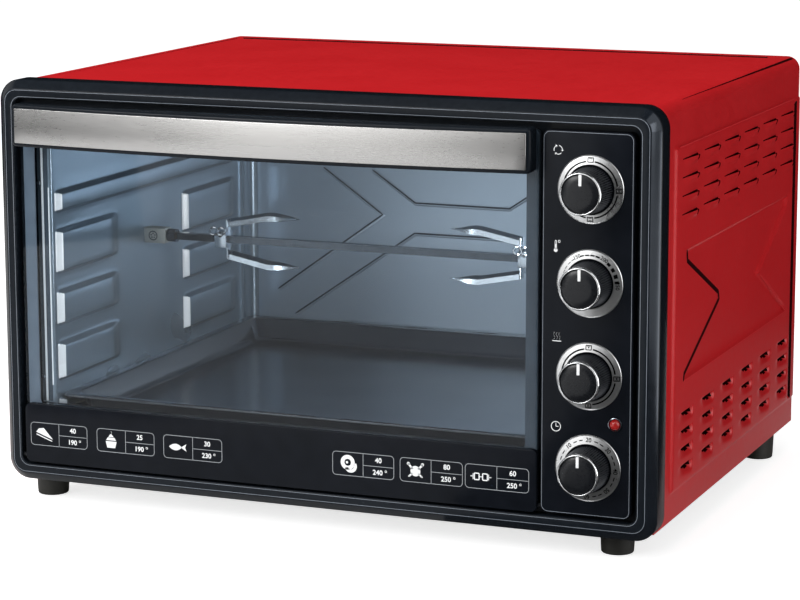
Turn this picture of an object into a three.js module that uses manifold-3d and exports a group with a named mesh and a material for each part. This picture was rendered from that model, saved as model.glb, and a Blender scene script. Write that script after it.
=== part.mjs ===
// Countertop electric oven: a steel housing with a drop-down glass door, four control knobs,
// a baking tray and a rotisserie spit with two sliding forks.
// Millimetres, +Z up, +X to the right of someone who faces the door, +Y towards the back.
// Every piece is drawn in a front frame: x = 0 in the middle of the front frame, y = 0 on its
// front face and z = 0 at its lower edge. The oven group then moves the origin under the middle
// of the whole oven, onto the surface that the feet stand on.
import * as THREE from "three";
import { mergeVertices } from "three/addons/utils/BufferGeometryUtils.js";
import Module from "manifold-3d";

const wasm = await Module();
wasm.setup();

// Fits and cutters
const seatGap = 0.3; // air left where one piece rests on another
const runGap = 0.4; // air round a turning shaft or pin
const overrun = 3; // how far a cutter stands past what it cuts
const weldDistance = 1e-3; // corners closer than this are one corner

// How finely curves are drawn
const cornerSteps = 5;
const chamferSteps = 2;
const turnSides = 32;
const rodSides = 24;
const holeSides = 16;
const knobSides = 24;
const ringSides = 28;
const domeSteps = 4;
const handleSteps = 16;

// Front frame, a moulded ring round the door and the control panel
const frameWidth = 560;
const frameHeight = 332;
const frameDepth = 26;
const frameCorner = 18;
const frameChamfer = 7;
const frameWall = 1.6;
const facePlate = 2.5; // thickness of the front ring
const ringSide = 15; // from the frame's side to its opening
const ringTop = 14.5;
const ringBottom = 14.5;
const openingCorner = 7;
const landingY = 12; // front of the flange that the door closes on
const landingPlate = 2;
const landingReach = 15; // how far that flange reaches in from the opening
const returnWall = 1.6;
const mullionWidth = 26; // upright between the door and the panel

// Door and panel, side by side in the opening
const doorSideGap = 4.5;
const doorTopGap = 4.6;
const doorBottomGap = 2.1;
const panelSideGap = 4.6;
const panelTopGap = 4.8;
const panelBottomGap = 3;
const panelWidth = 72.4;
const doorPanelGap = 2.5;
const panelFaceY = 1; // how far the panel's face lies behind the ring's
const panelPlate = 3;
const panelWall = 2;
const panelCorner = 6;

// Housing: one bent sheet for the top and both sides, with a base and a back
const housingInset = 5; // inside the frame's sides
const housingTopDrop = 1.9; // below the frame's upper edge
const housingBottom = 4.2; // above the frame's lower edge
const housingRearY = 430;
const sheet = 0.8;
const housingCorner = 11;
const backInset = 2;

// Air slots pressed in both housing sides, in a grid of columns and rows
const slotColumns = 6;
const slotRows = 4;
const slotFirstReach = 53.7; // behind the housing's front edge
const slotPitchY = 58.6;
const slotLength = 42;
const slotPitchZ = 14.3;
const upperSlotDrop = 45.1; // below the housing's top
const upperSlotHeight = 2;
const lowerSlotRise = 81.8; // above the housing's lower edge
const lowerSlotHeight = 3;

// Slots in the back and the base
const backSlotColumns = 9;
const backSlotPitch = 46;
const backSlotLength = 34;
const backSlotHeight = 4;
const backSlotRows = 3;
const backSlotPitchZ = 14;
const backSlotDrop = 36.1; // below the housing's top
const baseSlotCount = 7;
const baseSlotPitch = 58;
const baseSlotWidth = 5;
const baseSlotLength = 90;

// Cavity: five enamelled panels
const cavityLeftInset = 12; // inside the frame's door window
const cavityFloorRise = 6.5; // above the window's lower edge
const cavityTopRise = 3.5; // above the window's upper edge
const cavityRearSpace = 38; // between the cavity and the housing's rear edge
const cavitySheet = 0.8;
const cavityFlange = 15; // turned outwards at the front, behind the frame's flange
const floorFlange = 9;

// Lines pressed in the rear wall, from its middle, as shares of its half width and half height
const sideLineShares = [
  [-0.87, -0.55],
  [-0.37, 0.02],
  [-0.7, 0.5],
];
const endLineShares = [
  [-0.79, -0.72],
  [-0.23, -0.1],
  [0.23, -0.1],
  [0.79, -0.72],
];
const pressedLineWidth = 3;
const pressedLineHeight = 1;

// Shelf guides: at each height an upper and a lower bead, in a front and a rear group
const guideRises = [40, 86, 129, 179.5]; // above the cavity's floor
const guideMouth = 12; // clear height between the two beads
const beadHeight = 5;
const beadReach = 4;
const guideLength = 106;
const guideFrontGap = 2.7; // behind the cavity's front
const guideGroupPitch = 230;
const railWidth = 12; // upright that joins the beads at their front ends
const lastRailHeight = 20; // above the highest guide

// Baking tray in the lowest guide
const trayDepth = 20;
const traySheet = 1;
const trayRim = 9;
const traySlope = 8;
const trayFrontGap = 3.7;
const trayRearGap = 3;
const trayCornerSteps = 4;

// Heating elements: two above, two below
const elementRadius = 4;
const elementOverhang = 9; // past the cavity's walls
const elementReaches = [90.7, 285.7]; // behind the cavity's front
const upperElementDrop = 16; // below the cavity's top
const lowerElementRise = 8; // above the cavity's floor

// Rotisserie
const spitFromFront = 164.7; // behind the cavity's front
const spitRise = 145; // above the cavity's floor
const spitSide = 6; // square bar
const journalRadius = 3.4;
const collarRadius = 5.6;
const collarLength = 8;
const bracketReach = 21;
const bracketWidth = 44;
const bracketWeb = 4; // left between the wall and the notch
const bracketTop = 6; // above the spit's axis
const bracketHeight = 13;
const socketRadius = 8;
const socketReach = 17; // from the wall into the cavity
const socketPastWall = 3;
const spitEndGrip = 11; // how far the spit goes into the socket
const motorDepth = 34;
const motorWidth = 56;
const motorHeight = 52;
const motorCorner = 6;
const motorEarGap = 3;

// Forks on the spit
const leftForkIn = 74; // from the cavity's left wall
const rightForkIn = 79.75; // from its right wall
const hubLength = 11;
const hubSide = 14;
const prongSpread = 21; // from the axis to a prong's straight part
const prongRoot = 14;
const prongLength = 66;
const prongBendShare = 0.55; // of the prong's length, where it turns straight
const prongWidth = 8;
const prongSheet = 1.6;
const screwRadius = 2;
const screwTipGap = 1.6; // from the bar to the screw's tip, so that the fork can slide
const screwReach = 13; // past the hub
const screwTilt = Math.PI / 6; // the wing screws lean up from the front
const wingLength = 15;
const wingHeight = 6;
const wingSheet = 2;

// Knobs, dials and what they turn
const controlNames = ["mode", "temperature", "heat", "timer"];
const switchNames = ["mode_switch", "thermostat", "heat_switch", "timer"];
const switchDepths = [26, 30, 26, 44];
const controlInset = 33.9; // from the panel's right edge
const topControlDrop = 43.5; // below the panel's top
const bottomControlRise = 37.95; // above the panel's lower edge
const dialRadius = 26.2;
const dialBore = 18.9;
const dialProud = 2.4;
const dialBevel = 0.8;
const knobRadius = 17.6;
const knobCapRadius = 16.3;
const knobLength = 26; // from the panel's face to the cap
const knobFaceGap = 0.6;
const trimWidth = 2.2;
const trimDepth = 3;
const trimBevel = 0.7;
const pointerWidth = 1.6;
const pointerLength = 8;
const pointerDepth = 0.6;
const shaftRadius = 3;
const shaftGrip = 16; // inside the knob
const shaftInSwitch = 14;
const switchWidth = 46;
const switchCorner = 6;
const bushRadius = 6;
const bushLength = 6;

// Indicator lamp
const lampInset = 12.8; // from the panel's right edge
const lampRadius = 4.2;
const lampDome = 3.6;
const lampRingRadius = 5.6;
const lampRingProud = 1.4;
const lampRingBevel = 0.7;
const lampStemRadius = 3;
const lampStemLength = 9;

// Door
const doorFaceY = -0.5;
const glassY = 0.5;
const glassThickness = 4;
const kickHeight = 49.4; // of the black strip below the window
const kickSheet = 1.2;
const kickFillet = 3;
const kickDepth = 10;
const doorCorner = 5;
const innerFrameSheet = 1.2;
const innerFrameBand = 10;
const innerReturn = 4.6;
const innerFrameInset = 1.5;
const hingeY = 5;
const hingeRise = 4.4; // above the door's lower edge
const hingePinRadius = 2;
const hingePinInside = 14;
const hingePinOutside = 6.2;

// Handle: a bowed bar with a brushed face
const handleHeight = 34.4;
const handleTopRise = 1.5; // above the door's top
const handleEndInset = 2.1; // from the door's sides
const handleEndReach = 15; // in front of the ring's face
const handleMidReach = 28;
const handleBar = 10;
const handlePost = 14;
const handleFaceSheet = 1.4;
const handleFaceMargin = 3.2;

// Feet
const footDrop = 19.5; // below the front frame's lower edge
const footTopRadius = 14;
const footBottomRadius = 12.8;
const footLeftInset = 16; // from the housing's left side
const footRightInset = 37;
const footRearInset = 17;
const footFrontGap = 1; // behind the front frame
const footRearReach = 49; // before the housing's rear edge

// Gland for the mains lead, at the back
const inletInset = 50; // from the housing's right side
const inletRise = 35.8; // above its lower edge
const inletRadius = 9;
const inletTipRadius = 6.3;
const inletBore = 3.6;
const inletInside = 8;
const inletProud = 8;
const inletFlange = 13;
const inletFlangeThickness = 2;

// Worked out from the sizes above
const frameHalf = frameWidth / 2;
const openX = frameHalf - ringSide;
const openTop = frameHeight - ringTop;
const panelRight = openX - panelSideGap;
const panelLeft = panelRight - panelWidth;
const panelTop = openTop - panelTopGap;
const panelBottom = ringBottom + panelBottomGap;
const panelBackY = panelFaceY + panelPlate;
const doorRight = panelLeft - doorPanelGap;
const doorLeft = -openX + doorSideGap;
const doorTop = openTop - doorTopGap;
const doorBottom = ringBottom + doorBottomGap;
const doorMiddle = (doorLeft + doorRight) / 2;
const kickTopZ = doorBottom + kickHeight;
const mullionX = (panelLeft + doorRight) / 2;
const mullionRight = mullionX + mullionWidth / 2;
const windowLeft = landingReach - openX;
const windowBottom = ringBottom + landingReach;
const windowTop = openTop - landingReach;
const hingeZ = doorBottom + hingeRise;
const handleX0 = doorLeft + handleEndInset;
const handleX1 = doorRight - handleEndInset;
const handleHalf = (handleX1 - handleX0) / 2;
const handleTopZ = doorTop + handleTopRise;
const handleBottomZ = handleTopZ - handleHeight;
const housingFrontY = landingY + landingPlate + seatGap;
const housingX = frameHalf - housingInset;
const housingTop = frameHeight - housingTopDrop;
const insideX = housingX - sheet - seatGap;
const backFaceY = housingRearY - backInset;
const cavityFrontY = housingFrontY;
const cavityRearY = housingRearY - cavityRearSpace;
const cavityLeft = windowLeft + cavityLeftInset;
const cavityRight = mullionX;
const cavityFloorZ = windowBottom + cavityFloorRise;
const cavityTopZ = windowTop + cavityTopRise;
const guideHeights = guideRises.map((rise) => cavityFloorZ + rise);
const guideFrontY = cavityFrontY + guideFrontGap;
const elementYs = elementReaches.map((reach) => cavityFrontY + reach);
const elementZs = [cavityTopZ - upperElementDrop, cavityFloorZ + lowerElementRise];
const spitY = cavityFrontY + spitFromFront;
const spitZ = cavityFloorZ + spitRise;
const leftForkX = cavityLeft + leftForkIn;
const rightForkX = cavityRight - rightForkIn;
const socketFaceX = cavityRight - socketReach;
const collarStartX = cavityLeft + bracketReach + runGap;
const controlX = panelRight - controlInset;
const topControlZ = panelTop - topControlDrop;
const bottomControlZ = panelBottom + bottomControlRise;
const controlPitch = (topControlZ - bottomControlZ) / (controlNames.length - 1);
const controlZs = controlNames.map((name, i) => topControlZ - i * controlPitch);
const lampX = panelRight - lampInset;
const lampZ = bottomControlZ + controlPitch / 2;
const inletX = housingX - inletInset;
const inletZ = housingBottom + inletRise;
const knobCapY = panelFaceY - knobLength - knobFaceGap;
const inletRearY = backFaceY + seatGap + inletFlangeThickness + inletProud;
const overallDepth = handleMidReach + inletRearY;
const frontFaceY = handleMidReach - overallDepth / 2;

const alongX = new THREE.Vector3(1, 0, 0);
const alongY = new THREE.Vector3(0, 1, 0);
const alongZ = new THREE.Vector3(0, 0, 1);
const forwards = new THREE.Vector3(0, -1, 0);
const screwAxis = new THREE.Vector3(0, -Math.cos(screwTilt), Math.sin(screwTilt));

const paint = (color, roughness, metalness) =>
  new THREE.MeshStandardMaterial({ color, roughness, metalness });
const redEnamel = paint(0xb01c20, 0.35, 0.1);
const blackPlastic = paint(0x22262c, 0.4, 0);
const blackSteel = paint(0x1c2026, 0.35, 0.4);
const cavityEnamel = paint(0x66727e, 0.4, 0.3);
const trayEnamel = paint(0x2b2e33, 0.25, 0.2);
const brushedSteel = paint(0xb4b4b2, 0.35, 1);
const chrome = paint(0xd8dadc, 0.12, 1);
const zincSteel = paint(0x9a9ea2, 0.45, 0.9);
const elementSteel = paint(0x4c4c4e, 0.5, 0.8);
const rubber = paint(0x161616, 0.8, 0);
const redLens = paint(0xc81e14, 0.2, 0);
const glass = paint(0xa8b4ba, 0.05, 0);
const switchPlastic = paint(0xd8d2c4, 0.6, 0);

// Solids

function solidFrom(geometry, matrix) {
  const plain = new THREE.BufferGeometry();
  const loose = geometry.index ? geometry.toNonIndexed() : geometry;
  plain.setAttribute("position", loose.getAttribute("position").clone());
  if (matrix) plain.applyMatrix4(matrix);
  const merged = mergeVertices(plain, weldDistance);
  return new wasm.Manifold(
    new wasm.Mesh({
      numProp: 3,
      vertProperties: new Float32Array(merged.attributes.position.array),
      triVerts: new Uint32Array(merged.index.array),
    }),
  );
}

// A box between two corners, whose limits along x come in either order
function block(xa, xb, y0, y1, z0, z1) {
  const box = new THREE.BoxGeometry(Math.abs(xb - xa), y1 - y0, z1 - z0);
  box.translate((xa + xb) / 2, (y0 + y1) / 2, (z0 + z1) / 2);
  return solidFrom(box);
}

// Turns a shape's own axes into the axes named by the three directions, then moves it
function laid(u, v, w, x, y, z) {
  const matrix = new THREE.Matrix4().makeBasis(u, v, w);
  matrix.setPosition(x, y, z);
  return matrix;
}

function extruded(shape, depth) {
  return new THREE.ExtrudeGeometry(shape, {
    depth,
    bevelEnabled: false,
    curveSegments: cornerSteps,
  });
}

// A shape drawn as x and z, made thick from y0 to y1
function slabY(shape, y0, y1) {
  return solidFrom(extruded(shape, y1 - y0), laid(alongX, alongZ, forwards, 0, y1, 0));
}

// A shape drawn as y and z, made thick from x0 to x1
function slabX(shape, x0, x1) {
  return solidFrom(extruded(shape, x1 - x0), laid(alongY, alongZ, alongX, x0, 0, 0));
}

// A shape drawn as x and y, made thick from z0 to z1
function slabZ(shape, z0, z1) {
  return solidFrom(extruded(shape, z1 - z0), laid(alongX, alongY, alongZ, 0, 0, z0));
}

// A profile of [radius, distance] turned about an axis, with distances measured along it
function turned(profile, axis, x, y, z, sides = turnSides) {
  const points = profile.map(([r, d]) => new THREE.Vector2(r, d));
  const lathe = new THREE.LatheGeometry(points, sides);
  const turn = new THREE.Quaternion().setFromUnitVectors(alongY, axis);
  const matrix = new THREE.Matrix4().makeRotationFromQuaternion(turn);
  matrix.setPosition(x, y, z);
  return solidFrom(lathe, matrix);
}

// A profile of [radius, y] with y growing towards the back, turned about an axis to the front
function turnedFromFront(profile, x, z, sides) {
  const fromFront = profile.map(([r, y]) => [r, -y]).reverse();
  return turned(fromFront, forwards, x, 0, z, sides);
}

// A plain cylinder from the point, along the axis
function rod(radius, length, axis, x, y, z, sides = rodSides) {
  const profile = [
    [0, 0],
    [radius, 0],
    [radius, length],
    [0, length],
  ];
  return turned(profile, axis, x, y, z, sides);
}

function roundedShape(x0, x1, z0, z1, radius) {
  const quarter = Math.PI / 2;
  const shape = new THREE.Shape();
  shape.absarc(x1 - radius, z0 + radius, radius, -quarter, 0, false);
  shape.absarc(x1 - radius, z1 - radius, radius, 0, quarter, false);
  shape.absarc(x0 + radius, z1 - radius, radius, quarter, 2 * quarter, false);
  shape.absarc(x0 + radius, z0 + radius, radius, 2 * quarter, 3 * quarter, false);
  return shape;
}

// Square at the bottom and rounded at the top
function archShape(halfWidth, bottom, top, radius) {
  const shape = new THREE.Shape();
  shape.moveTo(-halfWidth, bottom);
  shape.lineTo(halfWidth, bottom);
  shape.absarc(halfWidth - radius, top - radius, radius, 0, Math.PI / 2, false);
  shape.absarc(radius - halfWidth, top - radius, radius, Math.PI / 2, Math.PI, false);
  shape.closePath();
  return shape;
}

function outlineShape(points) {
  const shape = new THREE.Shape();
  shape.moveTo(...points[0]);
  points.slice(1).forEach((point) => shape.lineTo(...point));
  shape.closePath();
  return shape;
}

const joined = (solids) => solids.reduce((all, next) => all.add(next));
const cut = (body, cutters) => cutters.reduce((left, next) => left.subtract(next), body);

const oven = new THREE.Group();
oven.name = "oven";
oven.position.set(0, frontFaceY, footDrop);

function addPiece(name, solid, material) {
  const data = solid.getMesh();
  const geometry = new THREE.BufferGeometry();
  geometry.setAttribute("position", new THREE.BufferAttribute(data.vertProperties, 3));
  geometry.setIndex(new THREE.BufferAttribute(data.triVerts, 1));
  geometry.computeVertexNormals();
  const mesh = new THREE.Mesh(geometry, material);
  mesh.name = name;
  oven.add(mesh);
}

// The frame's outline with a chamfer round its front edge
function frameBlank() {
  const inset = frameChamfer - frameHalf;
  const shape = roundedShape(
    inset,
    -inset,
    frameChamfer,
    frameHeight - frameChamfer,
    frameCorner - frameChamfer,
  );
  const geometry = new THREE.ExtrudeGeometry(shape, {
    depth: frameDepth - frameChamfer,
    bevelEnabled: true,
    bevelThickness: frameChamfer,
    bevelSize: frameChamfer,
    bevelSegments: chamferSteps,
    curveSegments: cornerSteps,
  });
  const whole = solidFrom(geometry, laid(alongX, alongZ, forwards, 0, frameDepth, 0));
  const behind = block(
    -frameWidth,
    frameWidth,
    frameDepth,
    frameDepth + frameChamfer + overrun,
    -overrun,
    frameHeight + overrun,
  );
  return whole.subtract(behind);
}

// The frame's outline made smaller all round by an inset
function frameInside(inset, y0, y1) {
  const shape = roundedShape(
    inset - frameHalf,
    frameHalf - inset,
    inset,
    frameHeight - inset,
    frameCorner - inset,
  );
  return slabY(shape, y0, y1);
}

// The frame's opening made larger all round by a margin
function frameOpening(margin, y0, y1) {
  const shape = roundedShape(
    -openX - margin,
    openX + margin,
    ringBottom - margin,
    openTop + margin,
    openingCorner + margin,
  );
  return slabY(shape, y0, y1);
}

// Front frame: a hollow ring, with a flange behind the door and an upright beside the panel
function frontFrame() {
  const hollowY = frameChamfer + facePlate;
  const hollow = frameInside(frameWall, hollowY, frameDepth + overrun);
  const frontHollow = frameInside(frameChamfer + frameWall, facePlate, hollowY + overrun);
  const opening = frameOpening(0, -overrun, frameDepth);
  const shell = cut(frameBlank(), [hollow, frontHollow, opening]);
  const collar = frameOpening(returnWall, facePlate - seatGap, landingY + landingPlate);
  const collarInner = frameOpening(0, -overrun, landingY);
  const window = (x0, x1) =>
    block(
      x0,
      x1,
      landingY - overrun,
      landingY + landingPlate + overrun,
      windowBottom,
      windowTop,
    );
  const doorWindow = window(windowLeft, mullionX - mullionWidth / 2);
  const panelWindow = window(mullionRight, openX - landingReach);
  const hingeHole = rod(
    hingePinRadius + runGap,
    returnWall + 2 * overrun,
    alongX,
    -openX - returnWall - overrun,
    hingeY,
    hingeZ,
  );
  return cut(shell.add(collar), [collarInner, doorWindow, panelWindow, hingeHole]);
}

// Control panel: a shallow tray whose walls stand on the frame's flange
function controlPanel() {
  const face = slabY(
    roundedShape(panelLeft, panelRight, panelBottom, panelTop, panelCorner),
    panelFaceY,
    landingY - seatGap,
  );
  const hollow = block(
    panelLeft + panelWall,
    panelRight - panelWall,
    panelBackY,
    landingY + overrun,
    panelBottom + panelCorner,
    panelTop - panelCorner,
  );
  const start = panelFaceY - overrun;
  const holeLength = panelPlate + 2 * overrun;
  const holes = controlZs.map((z) => rod(bushRadius, holeLength, alongY, controlX, start, z));
  const lampHole = rod(lampStemRadius + seatGap, holeLength, alongY, lampX, start, lampZ);
  const hingeHole = rod(
    hingePinRadius + runGap,
    panelWall + 2 * overrun,
    alongX,
    panelLeft - overrun,
    hingeY,
    hingeZ,
  );
  return cut(face, [hollow, ...holes, lampHole, hingeHole]);
}

// The room that the frame leaves for the housing: its hollow, and all that lies behind it
function roomBehindFrame() {
  const behindY = frameDepth + seatGap;
  const hollow = frameInside(frameWall + seatGap, housingFrontY - overrun, behindY + overrun);
  const behind = block(
    -frameWidth,
    frameWidth,
    behindY,
    housingRearY + overrun,
    -frameHeight,
    2 * frameHeight,
  );
  return hollow.add(behind);
}

// Housing wrap: top and sides bent from one sheet, with rows of air slots
function sideSlots(side, topZ, height) {
  const slots = [];
  const innerX = side * (housingX - sheet - overrun);
  const outerX = side * (housingX + overrun);
  for (let column = 0; column < slotColumns; column++) {
    for (let row = 0; row < slotRows; row++) {
      const y = housingFrontY + slotFirstReach + column * slotPitchY;
      const z = topZ - row * slotPitchZ;
      slots.push(block(innerX, outerX, y, y + slotLength, z - height, z));
    }
  }
  return joined(slots);
}

function housingWrap() {
  const outer = slabY(
    archShape(housingX, housingBottom, housingTop, housingCorner),
    housingFrontY,
    housingRearY,
  );
  const inner = slabY(
    archShape(housingX - sheet, -overrun, housingTop - sheet, housingCorner - sheet),
    housingFrontY - overrun,
    housingRearY + overrun,
  );
  const upperSlotTop = housingTop - upperSlotDrop;
  const lowerSlotTop = housingBottom + lowerSlotRise;
  return cut(outer.intersect(roomBehindFrame()), [
    inner,
    sideSlots(-1, upperSlotTop, upperSlotHeight),
    sideSlots(-1, lowerSlotTop, lowerSlotHeight),
    sideSlots(1, upperSlotTop, upperSlotHeight),
    sideSlots(1, lowerSlotTop, lowerSlotHeight),
  ]);
}

function basePlate() {
  const plate = block(
    -insideX,
    insideX,
    housingFrontY,
    backFaceY - sheet - seatGap,
    housingBottom,
    housingBottom + sheet,
  );
  const middleY = (housingFrontY + backFaceY) / 2;
  const slots = [];
  for (let i = 0; i < baseSlotCount; i++) {
    const x = (i - (baseSlotCount - 1) / 2) * baseSlotPitch;
    slots.push(
      block(
        x - baseSlotWidth / 2,
        x + baseSlotWidth / 2,
        middleY - baseSlotLength / 2,
        middleY + baseSlotLength / 2,
        housingBottom - overrun,
        housingBottom + sheet + overrun,
      ),
    );
  }
  return cut(plate.intersect(roomBehindFrame()), slots);
}

function backPanel() {
  const start = backFaceY - sheet - overrun;
  const plate = slabY(
    archShape(insideX, housingBottom, housingTop - sheet - seatGap, housingCorner - sheet),
    backFaceY - sheet,
    backFaceY,
  );
  const slots = [];
  for (let row = 0; row < backSlotRows; row++) {
    const top = housingTop - backSlotDrop - row * backSlotPitchZ;
    for (let i = 0; i < backSlotColumns; i++) {
      const x = (i - (backSlotColumns - 1) / 2) * backSlotPitch - backSlotLength / 2;
      const bottom = top - backSlotHeight;
      slots.push(block(x, x + backSlotLength, start, backFaceY + overrun, bottom, top));
    }
  }
  const inletHole = rod(
    inletRadius + seatGap,
    sheet + 2 * overrun,
    alongY,
    inletX,
    start,
    inletZ,
  );
  return cut(plate, [...slots, inletHole]);
}

// Gland in the back, where the mains lead goes in
function cordInlet() {
  const start = backFaceY - sheet - inletInside;
  const flangeY = backFaceY + seatGap;
  const profile = [
    [inletBore, start],
    [inletRadius, start],
    [inletRadius, flangeY],
    [inletFlange, flangeY],
    [inletFlange, flangeY + inletFlangeThickness],
    [inletRadius, flangeY + inletFlangeThickness],
    [inletTipRadius, inletRearY],
    [inletBore, inletRearY],
    [inletBore, start],
  ];
  return turned(profile, alongY, inletX, 0, inletZ);
}

function foot(x, y) {
  const top = housingBottom - seatGap;
  const edge = footTopRadius - footBottomRadius;
  const profile = [
    [0, -footDrop],
    [footBottomRadius - edge, -footDrop],
    [footBottomRadius, -footDrop + edge],
    [footTopRadius, top],
    [0, top],
  ];
  return turned(profile, alongZ, x, y, 0);
}

// Cavity side panel with its shelf guides; side is -1 on the left and 1 on the right
function guideBeads(side) {
  const wallX = side < 0 ? cavityLeft : cavityRight;
  const backX = wallX + side * (cavitySheet / 2);
  const faceX = wallX - side * beadReach;
  const pieces = [];
  for (const startY of [guideFrontY, guideFrontY + guideGroupPitch]) {
    const endY = startY + guideLength;
    guideHeights.forEach((height, i) => {
      const upper = height + guideMouth / 2;
      const lower = height - guideMouth / 2;
      const next = guideHeights[i + 1];
      const railTop = next ? next - guideMouth / 2 : upper + lastRailHeight;
      pieces.push(block(backX, faceX, startY, endY, upper, upper + beadHeight));
      pieces.push(block(backX, faceX, startY, endY, lower - beadHeight, lower));
      pieces.push(block(backX, faceX, startY, startY + railWidth, upper, railTop));
    });
  }
  return joined(pieces);
}

function cavitySide(side) {
  const wallX = side < 0 ? cavityLeft : cavityRight;
  const outerX = wallX + side * cavitySheet;
  const wall = block(wallX, outerX, cavityFrontY, cavityRearY, cavityFloorZ, cavityTopZ);
  const reach = side < 0 ? cavityFlange : Math.min(cavityFlange, mullionRight - cavityRight);
  const flange = block(
    wallX,
    wallX + side * reach,
    cavityFrontY,
    cavityFrontY + cavitySheet,
    cavityFloorZ,
    cavityTopZ,
  );
  const holeStart = Math.min(wallX, outerX) - overrun;
  const holeLength = cavitySheet + 2 * overrun;
  const holes = [];
  for (const y of elementYs) {
    for (const z of elementZs) {
      const radius = elementRadius + seatGap;
      holes.push(rod(radius, holeLength, alongX, holeStart, y, z, holeSides));
    }
  }
  if (side > 0) {
    holes.push(rod(socketRadius + runGap, holeLength, alongX, holeStart, spitY, spitZ));
  }
  return cut(joined([wall, flange, guideBeads(side)]), holes);
}

// Rear wall with four pressed lines that form an open cross
function cavityBack() {
  const wallY = cavityRearY + seatGap;
  const wall = block(
    cavityLeft - cavitySheet,
    cavityRight + cavitySheet,
    wallY,
    wallY + cavitySheet,
    cavityFloorZ,
    cavityTopZ,
  );
  const middleX = (cavityLeft + cavityRight) / 2;
  const middleZ = (cavityFloorZ + cavityTopZ) / 2;
  const halfX = (cavityRight - cavityLeft) / 2;
  const halfZ = (cavityTopZ - cavityFloorZ) / 2;
  const bars = [];
  const addLine = (shares, flipX, flipZ) => {
    const corners = shares.map(
      ([x, z]) => new THREE.Vector2(flipX * x * halfX, flipZ * z * halfZ),
    );
    for (let i = 0; i + 1 < corners.length; i++) {
      const run = corners[i + 1].clone().sub(corners[i]);
      const middle = corners[i].clone().add(corners[i + 1]).divideScalar(2);
      const bar = new THREE.BoxGeometry(
        run.length() + pressedLineWidth,
        pressedLineHeight + cavitySheet,
        pressedLineWidth,
      );
      const matrix = new THREE.Matrix4().makeRotationY(-run.angle());
      const y = wallY + (cavitySheet - pressedLineHeight) / 2;
      matrix.setPosition(middleX + middle.x, y, middleZ + middle.y);
      bars.push(solidFrom(bar, matrix));
    }
  };
  addLine(sideLineShares, 1, 1);
  addLine(sideLineShares, -1, 1);
  addLine(endLineShares, 1, 1);
  addLine(endLineShares, 1, -1);
  return wall.add(joined(bars));
}

function cavityLevel(z0) {
  return block(
    cavityLeft - cavitySheet,
    cavityRight + cavitySheet,
    cavityFrontY,
    cavityRearY + cavitySheet,
    z0,
    z0 + cavitySheet,
  );
}

// The floor turns down at the front, where it meets the back of the frame's flange
function cavityFloor() {
  const top = cavityFloorZ - seatGap;
  const flange = block(
    cavityLeft - cavitySheet,
    cavityRight + cavitySheet,
    cavityFrontY,
    cavityFrontY + cavitySheet,
    top - floorFlange,
    top,
  );
  return cavityLevel(top - cavitySheet).add(flange);
}

// Baking tray: a pan with sloping walls and a flat rim that rides on the lowest beads
function bakingTray() {
  const rimZ = guideHeights[0] - guideMouth / 2 + seatGap;
  const rimTop = rimZ + traySheet;
  const outline = (inset) =>
    roundedShape(
      cavityLeft + seatGap + inset,
      cavityRight - seatGap - inset,
      cavityFrontY + trayFrontGap + inset,
      cavityRearY - trayRearGap - inset,
      trayRim,
    );
  const pan = (inset, topZ, floorZ) => {
    const top = outline(trayRim + inset).getPoints(trayCornerSteps);
    const low = outline(trayRim + traySlope + inset).getPoints(trayCornerSteps);
    return sloped(top, low, topZ, floorZ);
  };
  const outside = pan(0, rimTop, rimTop - trayDepth);
  const inside = pan(traySheet, rimTop + traySheet, rimTop + traySheet - trayDepth);
  const mouth = slabZ(outline(trayRim + traySheet), rimTop - seatGap / 2, rimTop + overrun);
  return cut(slabZ(outline(0), rimZ, rimTop).add(outside), [inside, mouth]);
}

// A closed form between two outlines with as many points each, at two heights
function sloped(topPoints, lowPoints, topZ, lowZ) {
  const ring = [];
  topPoints.forEach((point, i) => {
    const repeats = i && point.distanceTo(topPoints[i - 1]) < weldDistance;
    if (!repeats) ring.push([point, lowPoints[i]]);
  });
  if (ring[0][0].distanceTo(ring[ring.length - 1][0]) < weldDistance) ring.pop();
  const corners = [];
  const put = (point, z) => corners.push(point.x, point.y, z);
  const middle = (level) =>
    ring
      .reduce((sum, pair) => sum.add(pair[level]), new THREE.Vector2())
      .divideScalar(ring.length);
  const topMiddle = middle(0);
  const lowMiddle = middle(1);
  ring.forEach(([top, low], i) => {
    const [nextTop, nextLow] = ring[(i + 1) % ring.length];
    put(low, lowZ);
    put(nextLow, lowZ);
    put(nextTop, topZ);
    put(low, lowZ);
    put(nextTop, topZ);
    put(top, topZ);
    put(topMiddle, topZ);
    put(top, topZ);
    put(nextTop, topZ);
    put(lowMiddle, lowZ);
    put(nextLow, lowZ);
    put(low, lowZ);
  });
  const geometry = new THREE.BufferGeometry();
  geometry.setAttribute("position", new THREE.Float32BufferAttribute(corners, 3));
  return solidFrom(geometry);
}

function heatingElement(y, z) {
  const start = cavityLeft - cavitySheet - elementOverhang;
  const end = cavityRight + cavitySheet + elementOverhang;
  return rod(elementRadius, end - start, alongX, start, y, z, holeSides);
}

// Left end holder of the spit: a pressed block with a notch that is open at the top
function spitBracket() {
  const top = spitZ + bracketTop;
  const body = block(
    cavityLeft + seatGap,
    cavityLeft + bracketReach,
    spitY - bracketWidth / 2,
    spitY + bracketWidth / 2,
    top - bracketHeight,
    top,
  );
  const halfNotch = journalRadius + runGap;
  const notch = block(
    cavityLeft + bracketWeb,
    cavityLeft + bracketReach + overrun,
    spitY - halfNotch,
    spitY + halfNotch,
    spitZ - halfNotch,
    top + overrun,
  );
  return body.subtract(notch);
}

function squareBar(half, x0, x1) {
  return block(x0, x1, spitY - half, spitY + half, spitZ - half, spitZ + half);
}

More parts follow.
